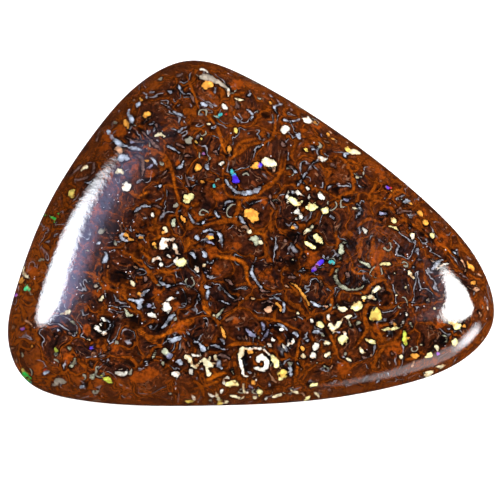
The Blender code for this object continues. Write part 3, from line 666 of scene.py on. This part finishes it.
# Warm orange-brown patches, and the blackest pools, in the same way.
emberMarks = [
    (0.8, -11.5, 7.15), (0.5, -11.85, 6.2), (0.4, 9.75, 4.35), (0.7, -10.75, 7.8, -10.7, 7.2),
    (0.3, -3.7, 10.35), (0.9, -1.5, 11.4), (0.3, 1.9, 8.1, 2.5, 8.1), (0.3, 3.45, 7.6),
    (0.4, -12.4, 1.2), (0.4, -9.45, 4.6, -9.55, 4.2), (0.6, -8.7, 4.2, -8.4, 3.8), (0.3, -6.3, 4.75),
    (0.4, -4.85, 0.6), (0.6, -3.15, 2.1), (0.4, 3.85, 6.4), (0.4, 0.4, 1.8), (0.5, 9.6, 4.6),
    (0.5, -11.8, -4.9), (0.5, -12.6, -5.4, -12.2, -5.2), (0.5, -7.4, -0.75),
    (0.7, -6.6, -6.2, -6.5, -6.1), (0.8, -3.6, -2.0, -3.7, -2.4), (0.5, -1.9, -1.7), (0.35, 0.85, -2.7),
    (0.3, 0.75, -3.5), (0.35, 1.0, -4.2), (0.5, 0.3, -3.9), (0.7, 14.3, -0.7, 14.3, -1.2),
    (0.35, 17.7, -5.5, 17.7, -5.9), (0.5, 14.2, -7.3, 13.8, -7.6), (0.4, 13.9, -10.2),
    (0.45, -11.05, -9.5), (0.9, -6.1, -8.1), (0.2, -0.65, -10.45), (0.2, -0.35, -10.45),
    (0.3, 15.4, -0.1), (0.4, -7.6, -5.3, -8.0, -5.2), (0.5, -3.3, -3.4, -3.4, -3.7),
    (0.4, 3.6, -1.9, 4.4, -2.1), (0.9, 4.3, -2.7), (0.4, -1.75, -7.4), (0.5, 11.9, -7.1, 11.6, -7.6),
    (0.6, 9.4, -7.9, 9.0, -7.6), (0.7, 9.3, -3.8, 9.8, -1.6), (0.5, -13.3, -8.2), (0.7, -14.4, -10.4),
    (0.6, -17.6, -3.2, -17.3, -3.8), (0.5, -16.9, -11.1), (0.9, 11.0, -9.2, 10.0, -9.6),
    (0.8, 7.2, -10.6, 6.4, -10.8), (0.8, -9.6, -11.8, -7.6, -11.4), (0.7, 4.8, 8.2), (0.6, 13.0, 1.4),
    (0.6, 14.7, -0.3),
]
inkMarks = [
    (1.4, -12.1, -8.05), (1.3, 4.2, -0.9, 4.5, -1.4), (0.8, 4.45, -7.1), (0.9, -9.6, -7.5, -9.2, -7.8),
    (0.35, 1.2, -12.3), (0.35, 4.1, -11.95), (0.3, 15.5, -7.75),
    (0.25, -9.5, 2.05, -8.8, 2.1, -8.05, 2.35), (0.5, 0.65, 8.7), (0.5, -7.9, -3.15), (0.7, -7.1, -2.1),
    (1.0, -4.9, -3.3), (0.7, -5.1, -2.6), (0.9, -10.9, -4.3), (0.6, -9.5, -2.4), (0.5, -9.5, -3.6),
    (0.9, -2.5, -5.0), (0.8, -2.4, -4.4), (0.8, 2.5, -2.6, 2.9, -3.4), (0.8, 2.4, -0.6, 2.7, -1.0),
    (0.8, 7.0, -1.1, 7.3, -1.6), (0.9, 7.0, -4.0, 7.5, -4.3), (0.5, 8.2, -3.1),
    (0.9, -0.9, -10.3, -0.8, -10.9), (0.6, 0.3, -9.9, 0.8, -10.8), (0.7, 6.6, -6.0),
    (0.6, 9.0, -5.3, 9.3, -5.7), (0.5, 8.6, -6.7), (0.7, 6.0, -7.0), (0.5, 10.4, -8.2),
    (0.6, 14.4, -8.6), (0.8, -6.0, -5.5), (0.9, -5.3, -5.9), (0.7, -8.8, -6.0), (0.8, -7.4, -7.4),
    (0.7, -7.9, -8.0), (0.6, 1.5, -8.1), (0.6, 2.2, -8.5), (0.5, 0.7, -6.1), (0.4, 1.2, -6.4),
    (0.7, -3.2, -1.3), (0.6, -6.9, -10.4), (0.6, -4.8, -9.4), (0.5, -12.4, -2.6, -12.4, -2.2),
    (0.4, -13.0, -4.8), (0.7, 5.2, -8.0), (0.5, 2.2, -11.3, 2.9, -10.9), (0.5, -13.2, -12.1),
    (0.4, 13.4, -9.5, 14.2, -9.3), (0.3, 13.6, -0.9), (0.5, 12.8, -0.4), (0.6, 3.5, 2.2, 3.4, 1.4),
]

# Parts of the stone that look darker or warmer, spots where painted glints gather, and painted sheen on
# the lit left shoulders: x, y and half sizes in mm, and strength.
zones = {
    "dark": [
        (2.4, -3.0, 3.4, 2.6, 0.9), (-2.2, -4.8, 1.6, 1.6, 0.7), (-1.0, -8.0, 2.2, 1.3, 0.8),
        (-11.0, -4.2, 1.5, 1.4, 0.5), (7.0, -1.2, 1.8, 1.8, 0.5), (13.0, -8.6, 1.6, 2.0, 0.5),
        (-8.0, -7.6, 2.2, 1.1, 0.5), (-9.4, -9.6, 2.2, 1.2, 0.35), (12.4, -3.0, 1.6, 2.4, 0.3),
        (-4.6, -8.3, 2.0, 1.0, 0.6), (1.0, 2.6, 2.0, 1.2, 0.3), (5.6, 0.2, 1.5, 1.5, 0.4),
    ],
    # painted glints: pale specks gathered beside the two highlights
    "paintedGlints": [
        (-12.6, -3.6, 3.4, 5.6, 1.0), (-9.2, -6.0, 3.2, 4.0, 0.5), (-12.5, 2.0, 2.4, 3.6, 0.5),
        (12.2, -3.4, 3.2, 3.6, 0.8), (12.6, -7.0, 2.2, 2.4, 0.5), (1.5, -3.4, 2.0, 2.0, 0.4),
    ],
    "warm": [
        (-4.0, 9.0, 5.0, 3.6, 0.75), (4.0, 7.0, 5.0, 2.6, 0.65), (11.0, 2.6, 3.0, 2.4, 0.5),
        (14.6, 0.2, 1.8, 1.8, 0.5), (9.0, -9.6, 3.4, 1.4, 0.5), (-8.0, -11.6, 5.0, 1.2, 0.5),
        (9.6, -2.0, 1.2, 2.0, 0.6),
    ],
    # painted sheen: the far left and lower-left shoulders are lightened where a lamp's pale sheen falls;
    # the two weak spots lighten the upper face
    "paintedSheenAndTone": [
        (-14.0, -10.6, 5.0, 2.6, 0.55), (-17.6, -5.0, 2.4, 7.0, 0.75), (-4.0, 8.0, 7.0, 4.0, 0.25),
        (8.0, 3.0, 6.0, 4.0, 0.12),
    ],
    "warmEdge": (0.70, 0.82),  # the smooth, warm shoulder starts this far out
}

# How a mark is drawn: width, dot and bow are for full marks first, then for thin, clouded seams.
strokeStyle = {
    "step": 0.04,  # mm between the places worked out along a stroke
    "width": (1.08, 0.86),  # of the drawn width
    "dotWidth": (0.85, 0.7),  # a mark with one point becomes a short stroke, narrower by this
    "dotReach": (0.6, 0.85),  # its half length, in widths
    "bow": (0.24, 0.34),  # how far a mark with two points may bow out, in lengths
    "tip": 0.12,  # width at the ends
    "belly": 0.96,  # what the middle adds
    "fullness": 0.8,  # below 1, the middle keeps its width for longer
    "heavyEnd": 0.45,  # fatter towards one end
    "shade": (0.82, 1.22),  # no two seams are quite alike
    "solidLift": 0.22,  # full marks are brighter by this
    "underEdge": (-0.3, 0.2),  # mm above the widest line: the marks fade out from the second to the first
}


def strokeOf(mark, slim):  # points and half widths along a smooth stroke that thins at its ends
    kind = 1 if slim else 0
    points = np.array(mark[1:], float).reshape(-1, 2)
    width = mark[0]
    turn = 2.4 * (7 * points[0, 0] + 13 * points[0, 1])  # a short mark gets its own bend
    if len(points) == 1:
        way = width * strokeStyle["dotReach"][kind] * np.array([math.cos(turn), math.sin(turn)])
        points = np.array([points[0] - way, points[0] + way])
        width *= strokeStyle["dotWidth"][kind]
    width *= strokeStyle["width"][kind]
    if len(points) == 2:
        along = points[1] - points[0]
        aside = np.array([-along[1], along[0]]) * strokeStyle["bow"][kind] * math.cos(3 * turn)
        points = np.array([points[0], (points[0] + points[1]) / 2 + aside, points[1]])
    ends = np.vstack([2 * points[0] - points[1], points, 2 * points[-1] - points[-2]])
    runs = []
    for i in range(len(points) - 1):
        a, b, c, d = ends[i:i + 4]
        steps = max(2, int(np.linalg.norm(c - b) / strokeStyle["step"]))
        t = np.linspace(0, 1, steps, endpoint=False)[:, None]
        runs.append(b + t / 2 * (c - a + t * (2 * a - 5 * b + 4 * c - d + t * (3 * (b - c) + d - a))))
    places = np.vstack(runs + [points[-1:]])
    along = np.linspace(0, 1, len(places)) ** (1 + strokeStyle["heavyEnd"] * math.cos(5 * turn))
    swell = np.sin(pi * along) ** strokeStyle["fullness"]
    return places, width / 2 * (strokeStyle["tip"] + strokeStyle["belly"] * swell)


def drawMarks(plan, under, marks, slim=()):  # how far each vertex lies outside the nearest mark, and which
    gap = np.ones(len(plan))
    nearest = np.zeros(len(plan), int)
    order = np.argsort(plan[:, 0])
    sortedX = plan[order, 0]
    for number, mark in enumerate(marks):
        places, half = strokeOf(mark, number in slim)
        low, high = places.min(axis=0) - 1, places.max(axis=0) + 1
        near = order[np.searchsorted(sortedX, low[0]):np.searchsorted(sortedX, high[0])]
        near = near[(plan[near, 1] > low[1]) & (plan[near, 1] < high[1])]
        apart = np.linalg.norm(plan[near, None] - places[None], axis=2) - half
        apart = apart.min(axis=1)
        closer = apart < gap[near]
        gap[near[closer]] = apart[closer]
        nearest[near[closer]] = number
    return np.minimum(gap + under, 1.0), nearest


def zoneOf(plan, spots):
    total = np.zeros(len(plan))
    for x, y, wide, high, strength in spots:
        total += strength * np.exp(-((plan[:, 0] - x) / wide) ** 2 - ((plan[:, 1] - y) / high) ** 2)
    return np.clip(total, 0, 1)


brightness = 2.15  # how much the studio lifts a plain colour


def linear(colour):  # from what the eye sees to the shader's scale
    values = (np.array(colour, float) / 255 + 0.055) / 1.055
    return tuple(values**2.4 / brightness) + (1.0,)


def opalTints(names, nearest):  # the colour of the nearest mark, with alpha 1 for solid opal
    low, high = strokeStyle["shade"]
    shade = low + (high - low) * np.mod(0.618 * np.arange(len(names)), 1.0)
    colours = np.array([linear(tints[name]) for name in names])[nearest]
    colours[:, :3] *= shade[nearest, None]
    colours[:, 3] = np.array([name in solidTints for name in names])[nearest]
    colours[:, :3] *= 1 + strokeStyle["solidLift"] * colours[:, 3:]
    return colours


def zonesAt(plan, out):  # dark, painted glints and warm at each vertex
    start, end = zones["warmEdge"]
    shoulder = np.clip((out - start) / (end - start), 0, 1)
    return np.column_stack([
        zoneOf(plan, zones["dark"]) * (1 - shoulder),
        zoneOf(plan, zones["paintedGlints"]) * (1 - shoulder),
        np.maximum(zoneOf(plan, zones["warm"]), shoulder),
    ])


def paintStone(data):
    places = placesIn(data)
    plan, height = places[:, :2], places[:, 2]
    low, high = strokeStyle["underEdge"]
    under = np.clip((stoneForm["girdleHeight"] + high - height) / (high - low), 0, 1)

    names = [name for name in opalMarks for mark in opalMarks[name]]
    marks = [mark for name in opalMarks for mark in opalMarks[name]]
    slim = {number for number, name in enumerate(names) if name not in solidTints}
    opal, nearest = drawMarks(plan, under, marks, slim)
    values = {
        "opal": opal,
        "opalSize": np.array([mark[0] for mark in marks])[nearest],
        "vein": drawMarks(plan, under, veinMarks)[0],
        "ember": drawMarks(plan, under, emberMarks)[0],
        "ink": drawMarks(plan, under, inkMarks)[0],
        # painted sheen on the left shoulders, and a lighter tone on the upper face
        "paintedSheenAndTone": 1 + zoneOf(plan, zones["paintedSheenAndTone"]),
    }
    for name, each in values.items():
        data.attributes.new(name, "FLOAT", "POINT").data.foreach_set("value", each)
    colours = opalTints(names, nearest)
    data.attributes.new("opalTint", "FLOAT_COLOR", "POINT").data.foreach_set("color", colours.ravel())
    zoneValues = zonesAt(plan, layerOf(data, "out"))
    data.attributes.new("zones", "FLOAT_VECTOR", "POINT").data.foreach_set("vector", zoneValues.ravel())
    print("marks drawn,", len(marks), "opals,", len(veinMarks), "veins")


paintStone(stoneData)

# The stone's material


def addNode(tree, kind, inputs=(), **settings):
    node = tree.nodes.new("ShaderNode" + kind)
    for name, value in settings.items():
        setattr(node, name, value)
    for name, value in dict(inputs).items():
        if isinstance(value, bpy.types.NodeSocket):
            tree.links.new(value, node.inputs[name])
        else:
            node.inputs[name].default_value = value
    return node


def calc(tree, operation, first, second=0.0):
    return addNode(tree, "Math", {0: first, 1: second}, operation=operation).outputs[0]


def times(tree, first, second):
    return calc(tree, "MULTIPLY", first, second)


def swing(tree, value, amount):  # a value that runs from 0 to 1 made to swing about 0
    return times(tree, calc(tree, "SUBTRACT", value, 0.5), amount)


def rise(tree, value, low, high, start=0.0, end=1.0):  # eases from start to end as value goes low to high
    sockets = {"Value": value, "From Min": low, "From Max": high, "To Min": start, "To Max": end}
    return addNode(tree, "MapRange", sockets, interpolation_type="SMOOTHSTEP").outputs[0]


def noise(tree, place, scale, detail=2.0, output="Fac"):
    sockets = {"Vector": place, "Scale": scale, "Detail": detail}
    return addNode(tree, "TexNoise", sockets).outputs[output]


def voronoi(tree, place, scale, feature="F1"):
    return addNode(tree, "TexVoronoi", {"Vector": place, "Scale": scale}, feature=feature).outputs


def blend(tree, share, under, over, kind="MIX"):
    sockets = {"Fac": share, "Color1": under, "Color2": over}
    return addNode(tree, "MixRGB", sockets, blend_type=kind).outputs[0]


def vector(tree, operation, first, second):
    return addNode(tree, "VectorMath", {0: first, 1: second}, operation=operation).outputs[0]


def scaled(tree, first, scale):
    return addNode(tree, "VectorMath", operation="SCALE", inputs={0: first, "Scale": scale}).outputs[0]


def wander(tree, place, scale, amount, detail=1.0):  # the place, pushed about by a soft noise
    push = vector(tree, "SUBTRACT", noise(tree, place, scale, detail, "Color"), (0.5, 0.5, 0.5))
    return vector(tree, "ADD", place, scaled(tree, push, 2 * amount))


def attribute(tree, name, output="Fac"):
    return addNode(tree, "Attribute", attribute_name=name).outputs[output]


def thinLine(tree, value, level, halfWidth, strength):  # a line where value passes level
    apart = calc(tree, "ABSOLUTE", calc(tree, "SUBTRACT", value, level))
    return times(tree, rise(tree, apart, halfWidth * 0.3, halfWidth, 1.0, 0.0), strength)


def grey(tree, value):
    return addNode(tree, "CombineXYZ", {0: value, 1: value, 2: value}).outputs[0]


ironstone = {  # as the eye sees them, like the tints
    "deep": (30, 15, 11),
    "middle": (104, 44, 6),
    "red": (150, 66, 6),
    "dark": (38, 20, 17),
    "shoulder": (168, 78, 8),
    "umber": (66, 28, 8),
    "glow": (124, 52, 4),
    "veinDim": (138, 64, 8),
    "veinBright": (204, 104, 18),
    "web": (130, 60, 8),
    "worm": (112, 54, 22),
    "spot": (126, 62, 30),
    "curl": (142, 100, 74),
    "seam": (162, 160, 166),
    "grainAndGlint": (246, 234, 236),
    # a few pale grains, and painted glints of light in the glint zones
    "ember": (158, 70, 12),
    "ink": (5, 2, 2),
    "ring": (196, 190, 166),
    "stain": (214, 138, 56),
}

figures = {  # about how many of each there are to a millimetre
    "drift": 0.55,  # broad paler and darker stretches
    "cells": 0.42,  # meshes of the web
    "spots": 1.9,
    "grains": 3.2,
    "rings": 0.9,
}


def webOf(tree, place):  # what all layers of the ironstone share
    dark, paintedGlints, warm = addNode(tree, "SeparateXYZ", {0: attribute(tree, "zones", "Vector")}).outputs
    bent = wander(tree, wander(tree, place, 0.4, 1.5), 1.3, 0.45)
    cells = figures["cells"]
    edge = voronoi(tree, bent, cells, "DISTANCE_TO_EDGE")["Distance"]
    core = voronoi(tree, bent, cells)["Distance"]
    return {
        "place": place,
        "bent": bent,
        "dark": dark,
        "paintedGlints": paintedGlints,
        "warm": warm,
        "calm": rise(tree, warm, 0.5, 1.0, 1.0, 0.5),  # fewer figures where the stone is warm and smooth
        "drift": noise(tree, place, figures["drift"], 3.0),
        "edge": calc(tree, "DIVIDE", edge, cells),  # mm from the nearest wall
        "core": calc(tree, "DIVIDE", core, cells),  # mm from the middle of the mesh
        "vein": attribute(tree, "vein"),  # mm from the nearest drawn vein
    }


def groundColour(tree, web, tone):  # brown, redder in places, warm at the shoulders, with faint worm lines
    place, bent, warm = web["place"], web["bent"], web["warm"]
    colour = blend(tree, rise(tree, web["drift"], 0.42, 0.62), tone["deep"], tone["middle"])
    red = rise(tree, noise(tree, bent, 0.9, 3.0), 0.5, 0.68, 0.0, 0.8)
    colour = blend(tree, red, colour, tone["red"])
    colour = blend(tree, times(tree, warm, 0.75), colour, tone["shoulder"])
    umber = rise(tree, noise(tree, bent, 0.8, 4.0), 0.45, 0.62, 0.0, 0.85)
    colour = blend(tree, times(tree, umber, warm), colour, tone["umber"])
    share = times(tree, rise(tree, noise(tree, place, 0.8, 2.0), 0.4, 0.6, 0.2, 1.0), web["calm"])
    worm = thinLine(tree, noise(tree, bent, 1.5, 2.0), 0.5, 0.06, share)
    colour = blend(tree, worm, colour, tone["worm"])
    return blend(tree, times(tree, web["dark"], 0.75), colour, tone["dark"])


def cellColour(tree, web, tone, colour):  # dark meshes with glowing walls, some banded, and fine curls
    place, bent = web["place"], web["bent"]
    wall = calc(tree, "MINIMUM", web["edge"], calc(tree, "ADD", web["vein"], 0.1))
    inside = rise(tree, wall, 0.08, 0.4, 0.0, 0.9)
    inside = times(tree, inside, rise(tree, web["drift"], 0.38, 0.68, 1.0, 0.45))
    colour = blend(tree, times(tree, inside, web["calm"]), colour, tone["dark"])
    colour = blend(tree, rise(tree, wall, 0.05, 0.4, 0.45, 0.0), colour, tone["glow"])

    share = rise(tree, noise(tree, bent, 0.7, 1.0), 0.44, 0.58, 0.0, 0.75)
    bands = calc(tree, "SINE", times(tree, web["core"], 17.0))
    colour = blend(tree, thinLine(tree, bands, 1.0, 0.5, share), colour, tone["worm"])
    share = times(tree, rise(tree, noise(tree, place, 0.9), 0.52, 0.62, 0.0, 0.8), web["calm"])
    curl = thinLine(tree, noise(tree, bent, 1.1, 1.0), 0.5, 0.024, share)
    return blend(tree, curl, colour, tone["curl"])


def spotColour(tree, web, tone, colour):  # red-brown spots and black hollows
    spots = voronoi(tree, web["bent"], figures["spots"])
    chosen = addNode(tree, "SeparateColor", {0: spots["Color"]}).outputs[0]
    spot = calc(tree, "LESS_THAN", chosen, 0.4)
    spot = times(tree, rise(tree, spots["Distance"], 0.2, 0.38, 0.8, 0.0), spot)
    colour = blend(tree, spot, colour, tone["spot"])
    hollow = times(tree, calc(tree, "GREATER_THAN", chosen, 0.62), web["calm"])
    hollow = times(tree, rise(tree, spots["Distance"], 0.22, 0.42, 0.85, 0.0), hollow)
    return blend(tree, hollow, colour, tone["ink"])


def seamColour(tree, web, tone, colour):  # thin grey lines inside the meshes, dark along both sides
    level = rise(tree, web["drift"], 0.3, 0.7, 0.2, 0.5)
    share = times(tree, rise(tree, noise(tree, web["bent"], 0.75, 1.0), 0.53, 0.6), web["calm"])
    for name, halfWidth, strength in (("ink", 0.24, 0.8), ("seam", 0.064, 0.85)):
        line = thinLine(tree, web["edge"], level, halfWidth, times(tree, share, strength))
        colour = blend(tree, line, colour, tone[name])
    return colour


def veinColour(tree, web, tone, colour):  # the web's own walls and the drawn veins, hottest in the middle
    ragged = swing(tree, noise(tree, web["place"], 2.6), 0.1)
    vein = calc(tree, "ADD", web["vein"], ragged)
    edge = calc(tree, "ADD", web["edge"], ragged)
    wall = calc(tree, "MINIMUM", edge, vein)
    colour = blend(tree, rise(tree, wall, 0.12, 0.3, 0.6, 0.0), colour, tone["ink"])
    colour = blend(tree, rise(tree, edge, 0.04, 0.12, 0.85, 0.0), colour, tone["web"])
    colour = blend(tree, rise(tree, vein, -0.03, 0.08, 0.95, 0.0), colour, tone["veinDim"])
    hot = rise(tree, noise(tree, web["place"], 0.8, 3.0), 0.42, 0.62, 0.0, 0.95)
    hot = times(tree, rise(tree, vein, -0.1, 0.0, 1.0, 0.0), hot)
    return blend(tree, hot, colour, tone["veinBright"])


def patchColour(tree, web, tone, colour):  # the drawn ember and ink patches, with uneven edges
    uneven = swing(tree, noise(tree, web["place"], 1.8), 0.6)
    ember = calc(tree, "ADD", attribute(tree, "ember"), uneven)
    colour = blend(tree, rise(tree, ember, -0.14, 0.16, 0.8, 0.0), colour, tone["ember"])
    ink = calc(tree, "ADD", attribute(tree, "ink"), uneven)
    return blend(tree, rise(tree, ink, -0.12, 0.14, 0.85, 0.0), colour, tone["ink"])


def grainColour(tree, web, tone, colour):  # pale grains, and painted glints of light, most in the glint zones, then a fine mottle
    grains = voronoi(tree, web["place"], figures["grains"])
    chosen = addNode(tree, "SeparateColor", {0: grains["Color"]}).outputs[0]
    chosen = calc(tree, "LESS_THAN", chosen, rise(tree, web["paintedGlints"], 0.0, 1.0, 0.03, 0.3))
    grain = times(tree, rise(tree, grains["Distance"], 0.08, 0.22, 0.9, 0.0), chosen)
    # sparse pale grains everywhere, and many painted glints beside the highlights
    colour = blend(tree, grain, colour, tone["grainAndGlint"])
    mottle = rise(tree, noise(tree, web["place"], 4.0, 3.0), 0.32, 0.68, -0.5, 0.5)
    mottle = calc(tree, "ADD", times(tree, mottle, rise(tree, web["warm"], 0.3, 1.0, 1.0, 0.5)), 1.0)
    # the painted sheen on the left shoulders lightens the mottle there
    mottle = times(tree, mottle, attribute(tree, "paintedSheenAndTone"))
    return blend(tree, 1.0, colour, grey(tree, mottle), "MULTIPLY")


def ironstoneColour(tree, place, tone):  # the brown web, before any opal
    web = webOf(tree, place)
    colour = groundColour(tree, web, tone)
    for layer in (cellColour, spotColour, seamColour, veinColour, patchColour, grainColour):
        colour = layer(tree, web, tone, colour)
    return colour


def ringColour(tree, place, tone, colour):  # small broken rings of pale opal with a dark edge
    rings = voronoi(tree, wander(tree, place, 1.1, 0.3), figures["rings"])
    chosen = addNode(tree, "SeparateColor", {0: rings["Color"]}).outputs
    circle = calc(tree, "SUBTRACT", rings["Distance"], rise(tree, chosen[1], 0.0, 1.0, 0.12, 0.4))
    circle = calc(tree, "DIVIDE", calc(tree, "ABSOLUTE", circle), figures["rings"])
    circle = calc(tree, "ADD", circle, rise(tree, noise(tree, place, 1.5), 0.44, 0.54, 0.3, 0.0))
    wanted = calc(tree, "LESS_THAN", chosen[0], 0.2)
    for name, inner, outer, strength in (("ink", 0.06, 0.2, 0.8), ("ring", 0.02, 0.08, 0.7)):
        share = times(tree, rise(tree, circle, inner, outer, strength, 0.0), wanted)
        colour = blend(tree, share, colour, tone[name])
    return colour


def opalGap(tree, place, size):  # mm outside the nearest drawn seam, made ragged
    coarse = swing(tree, noise(tree, place, 1.9, 2.0), times(tree, size, 1.25))
    finer = swing(tree, noise(tree, place, 4.2, 3.0), 0.24)
    return calc(tree, "ADD", calc(tree, "ADD", attribute(tree, "opal"), coarse), finer)


def opalBody(tree, place, gap, clear, solid, tone):  # cloudy, stained in places, browner at its rim
    cloud = rise(tree, noise(tree, place, 2.6, 3.0), 0.36, 0.58, 0.5, 1.25)
    cloud = calc(tree, "MAXIMUM", cloud, times(tree, clear, 0.75))
    cloud = times(tree, cloud, rise(tree, gap, -0.2, 0.0, 1.3, 0.85))
    body = blend(tree, 1.0, attribute(tree, "opalTint", "Color"), grey(tree, cloud), "MULTIPLY")
    stain = rise(tree, noise(tree, place, 1.9, 2.0), 0.5, 0.62, 0.0, 0.6)
    body = blend(tree, times(tree, stain, solid), body, tone["stain"])
    return blend(tree, rise(tree, gap, -0.07, 0.03, 0.0, 0.4), body, tone["middle"])


def opalColour(tree, place, tone, colour):  # opal over the ironstone, each seam with its dark selvage
    colour = ringColour(tree, place, tone, colour)
    size = attribute(tree, "opalSize")
    solid = attribute(tree, "opalTint", "Alpha")
    gap = opalGap(tree, place, size)

    warm = addNode(tree, "SeparateXYZ", {0: attribute(tree, "zones", "Vector")}).outputs[2]
    selvage = rise(tree, noise(tree, place, 1.2), 0.4, 0.6, 1.0, 0.7)
    selvage = times(tree, selvage, rise(tree, warm, 0.5, 1.0, 1.0, 0.45))
    selvage = times(tree, rise(tree, gap, 0.05, 0.24, 1.0, 0.0), selvage)
    colour = blend(tree, selvage, colour, tone["ink"])

    clear = calc(tree, "MAXIMUM", solid, rise(tree, size, 0.3, 0.45))  # wide seams aren't dimmed
    body = opalBody(tree, place, gap, clear, solid, tone)
    depth = calc(tree, "MAXIMUM", rise(tree, noise(tree, place, 1.5, 2.0), 0.38, 0.58, 0.4, 1.0), clear)
    share = times(tree, rise(tree, gap, -0.01, 0.03, 1.0, 0.0), depth)
    return blend(tree, share, colour, body)


polish = {
    "roughness": 0.055,
    "ior": 1.8,
    "ripple": 0.01,  # mm that hand polishing left
    "ripples": 2.4,  # to a millimetre
}


def makeStoneMaterial():
    material = bpy.data.materials.new("opal_in_ironstone")
    material.use_nodes = True
    tree = material.node_tree
    shader = tree.nodes["Principled BSDF"]
    tone = {name: linear(colour) for name, colour in ironstone.items()}
    place = scaled(tree, addNode(tree, "TexCoord").outputs["Object"], 1 / mm)
    colour = opalColour(tree, place, tone, ironstoneColour(tree, place, tone))
    tree.links.new(colour, shader.inputs["Base Color"])
    shader.inputs["Roughness"].default_value = polish["roughness"]
    shader.inputs["IOR"].default_value = polish["ior"]
    ripple = times(tree, noise(tree, place, polish["ripples"], 2.0), polish["ripple"])
    bump = addNode(tree, "Bump", {"Height": ripple, "Distance": mm, "Strength": 1.0})
    tree.links.new(bump.outputs[0], shader.inputs["Normal"])
    return material


stoneData.materials.append(makeStoneMaterial())
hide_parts("boulder_opal")
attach(stone, "root")
print("stone coloured")

# The studio

studio = {
    "cameraWay": (-0.112, -0.133, 0.985),  # from the stone towards the camera
    "aim": (-0.36, -1.49, 3.5),  # mm, the point in the picture's middle
    "distance": 250.0,  # mm
    "lens": 231.0,
    "floorSize": 3000.0,
    "floorColour": (0.9, 0.9, 0.9, 1),
    "floorRoughness": 0.9,
    "floorShine": 0.1,
    "worldColour": (0.85, 0.9, 1.0, 1),
    "worldStrength": 0.012,
    "shadowLights": ("left_softbox", "left_glow", "left_veil"),  # the others cast no shadow
    "lights": {  # way from the stone, distance mm, size mm, watts, colour, share with full light
        "left_softbox": ((-0.73, 0.31, 0.60), 600, (345, 430), 5.6, (0.88, 0.93, 1.0), 0.5),
        "left_glow": ((-0.56, 0.28, 0.78), 610, (450, 480), 2.0, (0.54, 0.58, 1.0), 0.0),
        "left_veil": ((-0.34, 0.22, 0.91), 620, (430, 520), 0.20, (0.80, 0.72, 1.0), 0.3),
        "right_softbox": ((0.73, -0.03, 0.68), 600, (570, 670), 13.0, (1.0, 0.99, 0.97), 0.75),
        "right_glow": ((0.61, 0.03, 0.79), 610, (360, 500), 3.6, (0.70, 0.74, 1.0), 0.0),
        "right_veil": ((0.45, 0.00, 0.89), 620, (340, 480), 0.23, (0.96, 0.78, 0.96), 0.65),
        "low_front": ((0.62, -0.78, -0.06), 800, (460, 760), 1.35, (0.93, 0.95, 1.0), 0.6),
        "low_right": ((0.82, -0.56, -0.04), 790, (430, 480), 4.2, (0.92, 0.95, 1.0), 0.25),
    },
}


def facing(way):  # axes of a camera or light that looks back along way, with +Y up in its picture
    back = Vector(way).normalized()
    right = Vector((0, 1, 0)).cross(back).normalized()
    return Matrix((right, back.cross(right), back)).transposed().to_4x4()


def placeLooking(obj, aim, way, distance):
    spot = Vector(aim) + Vector(way).normalized() * distance
    obj.matrix_world = Matrix.Translation(spot * mm) @ facing(way)


def addCamera(scene):
    cameraData = bpy.data.cameras.new("camera")
    cameraData.lens = studio["lens"]
    camera = bpy.data.objects.new("camera", cameraData)
    placeLooking(camera, studio["aim"], studio["cameraWay"], studio["distance"])
    scene.collection.objects.link(camera)
    scene.camera = camera


def addLight(scene, name, way, distance, size, watts, colour, full):  # an oval of light with a soft edge
    lightData = bpy.data.lights.new(name, "AREA")
    lightData.shape = "ELLIPSE"
    lightData.size = size[0] * mm
    lightData.size_y = size[1] * mm
    lightData.energy = watts
    lightData.color = colour
    lightData.use_nodes = True
    tree = lightData.node_tree
    place = addNode(tree, "NewGeometry").outputs["Parametric"]
    away = addNode(tree, "VectorMath", {0: place, 1: (0.5, 0.5, 0.0)}, operation="DISTANCE")
    glow = rise(tree, away.outputs["Value"], 0.5 * full, 0.5, 1.0, 0.0)
    tree.links.new(glow, tree.nodes["Emission"].inputs["Strength"])
    lightData.use_shadow = name in studio["shadowLights"]
    light = bpy.data.objects.new(name, lightData)
    placeLooking(light, (0, 0, 0), way, distance)
    scene.collection.objects.link(light)


def addWorld(scene):
    world = bpy.data.worlds.new("studio")
    world.use_nodes = True
    background = world.node_tree.nodes["Background"]
    background.inputs["Color"].default_value = studio["worldColour"]
    background.inputs["Strength"].default_value = studio["worldStrength"]
    scene.world = world


def addFloor(scene):
    bm = bmesh.new()
    bmesh.ops.create_grid(bm, x_segments=1, y_segments=1, size=studio["floorSize"] / 2 * mm)
    floorData = bpy.data.meshes.new("floor")
    bm.to_mesh(floorData)
    bm.free()
    floor = bpy.data.objects.new("floor", floorData)
    paper = bpy.data.materials.new("white_paper")
    paper.use_nodes = True
    sheet = paper.node_tree.nodes["Principled BSDF"]
    sheet.inputs["Base Color"].default_value = studio["floorColour"]
    sheet.inputs["Roughness"].default_value = studio["floorRoughness"]
    sheet.inputs["Specular IOR Level"].default_value = studio["floorShine"]
    floorData.materials.append(paper)
    scene.collection.objects.link(floor)
    floor.visible_glossy = False
    floor.visible_shadow = False


def makeStudio():
    scene = bpy.context.scene
    addCamera(scene)
    for name, settings in studio["lights"].items():
        addLight(scene, name, *settings)
    addWorld(scene)
    addFloor(scene)
    scene.view_settings.view_transform = "Standard"
    scene.view_settings.look = "None"


makeStudio()
print("studio lit")
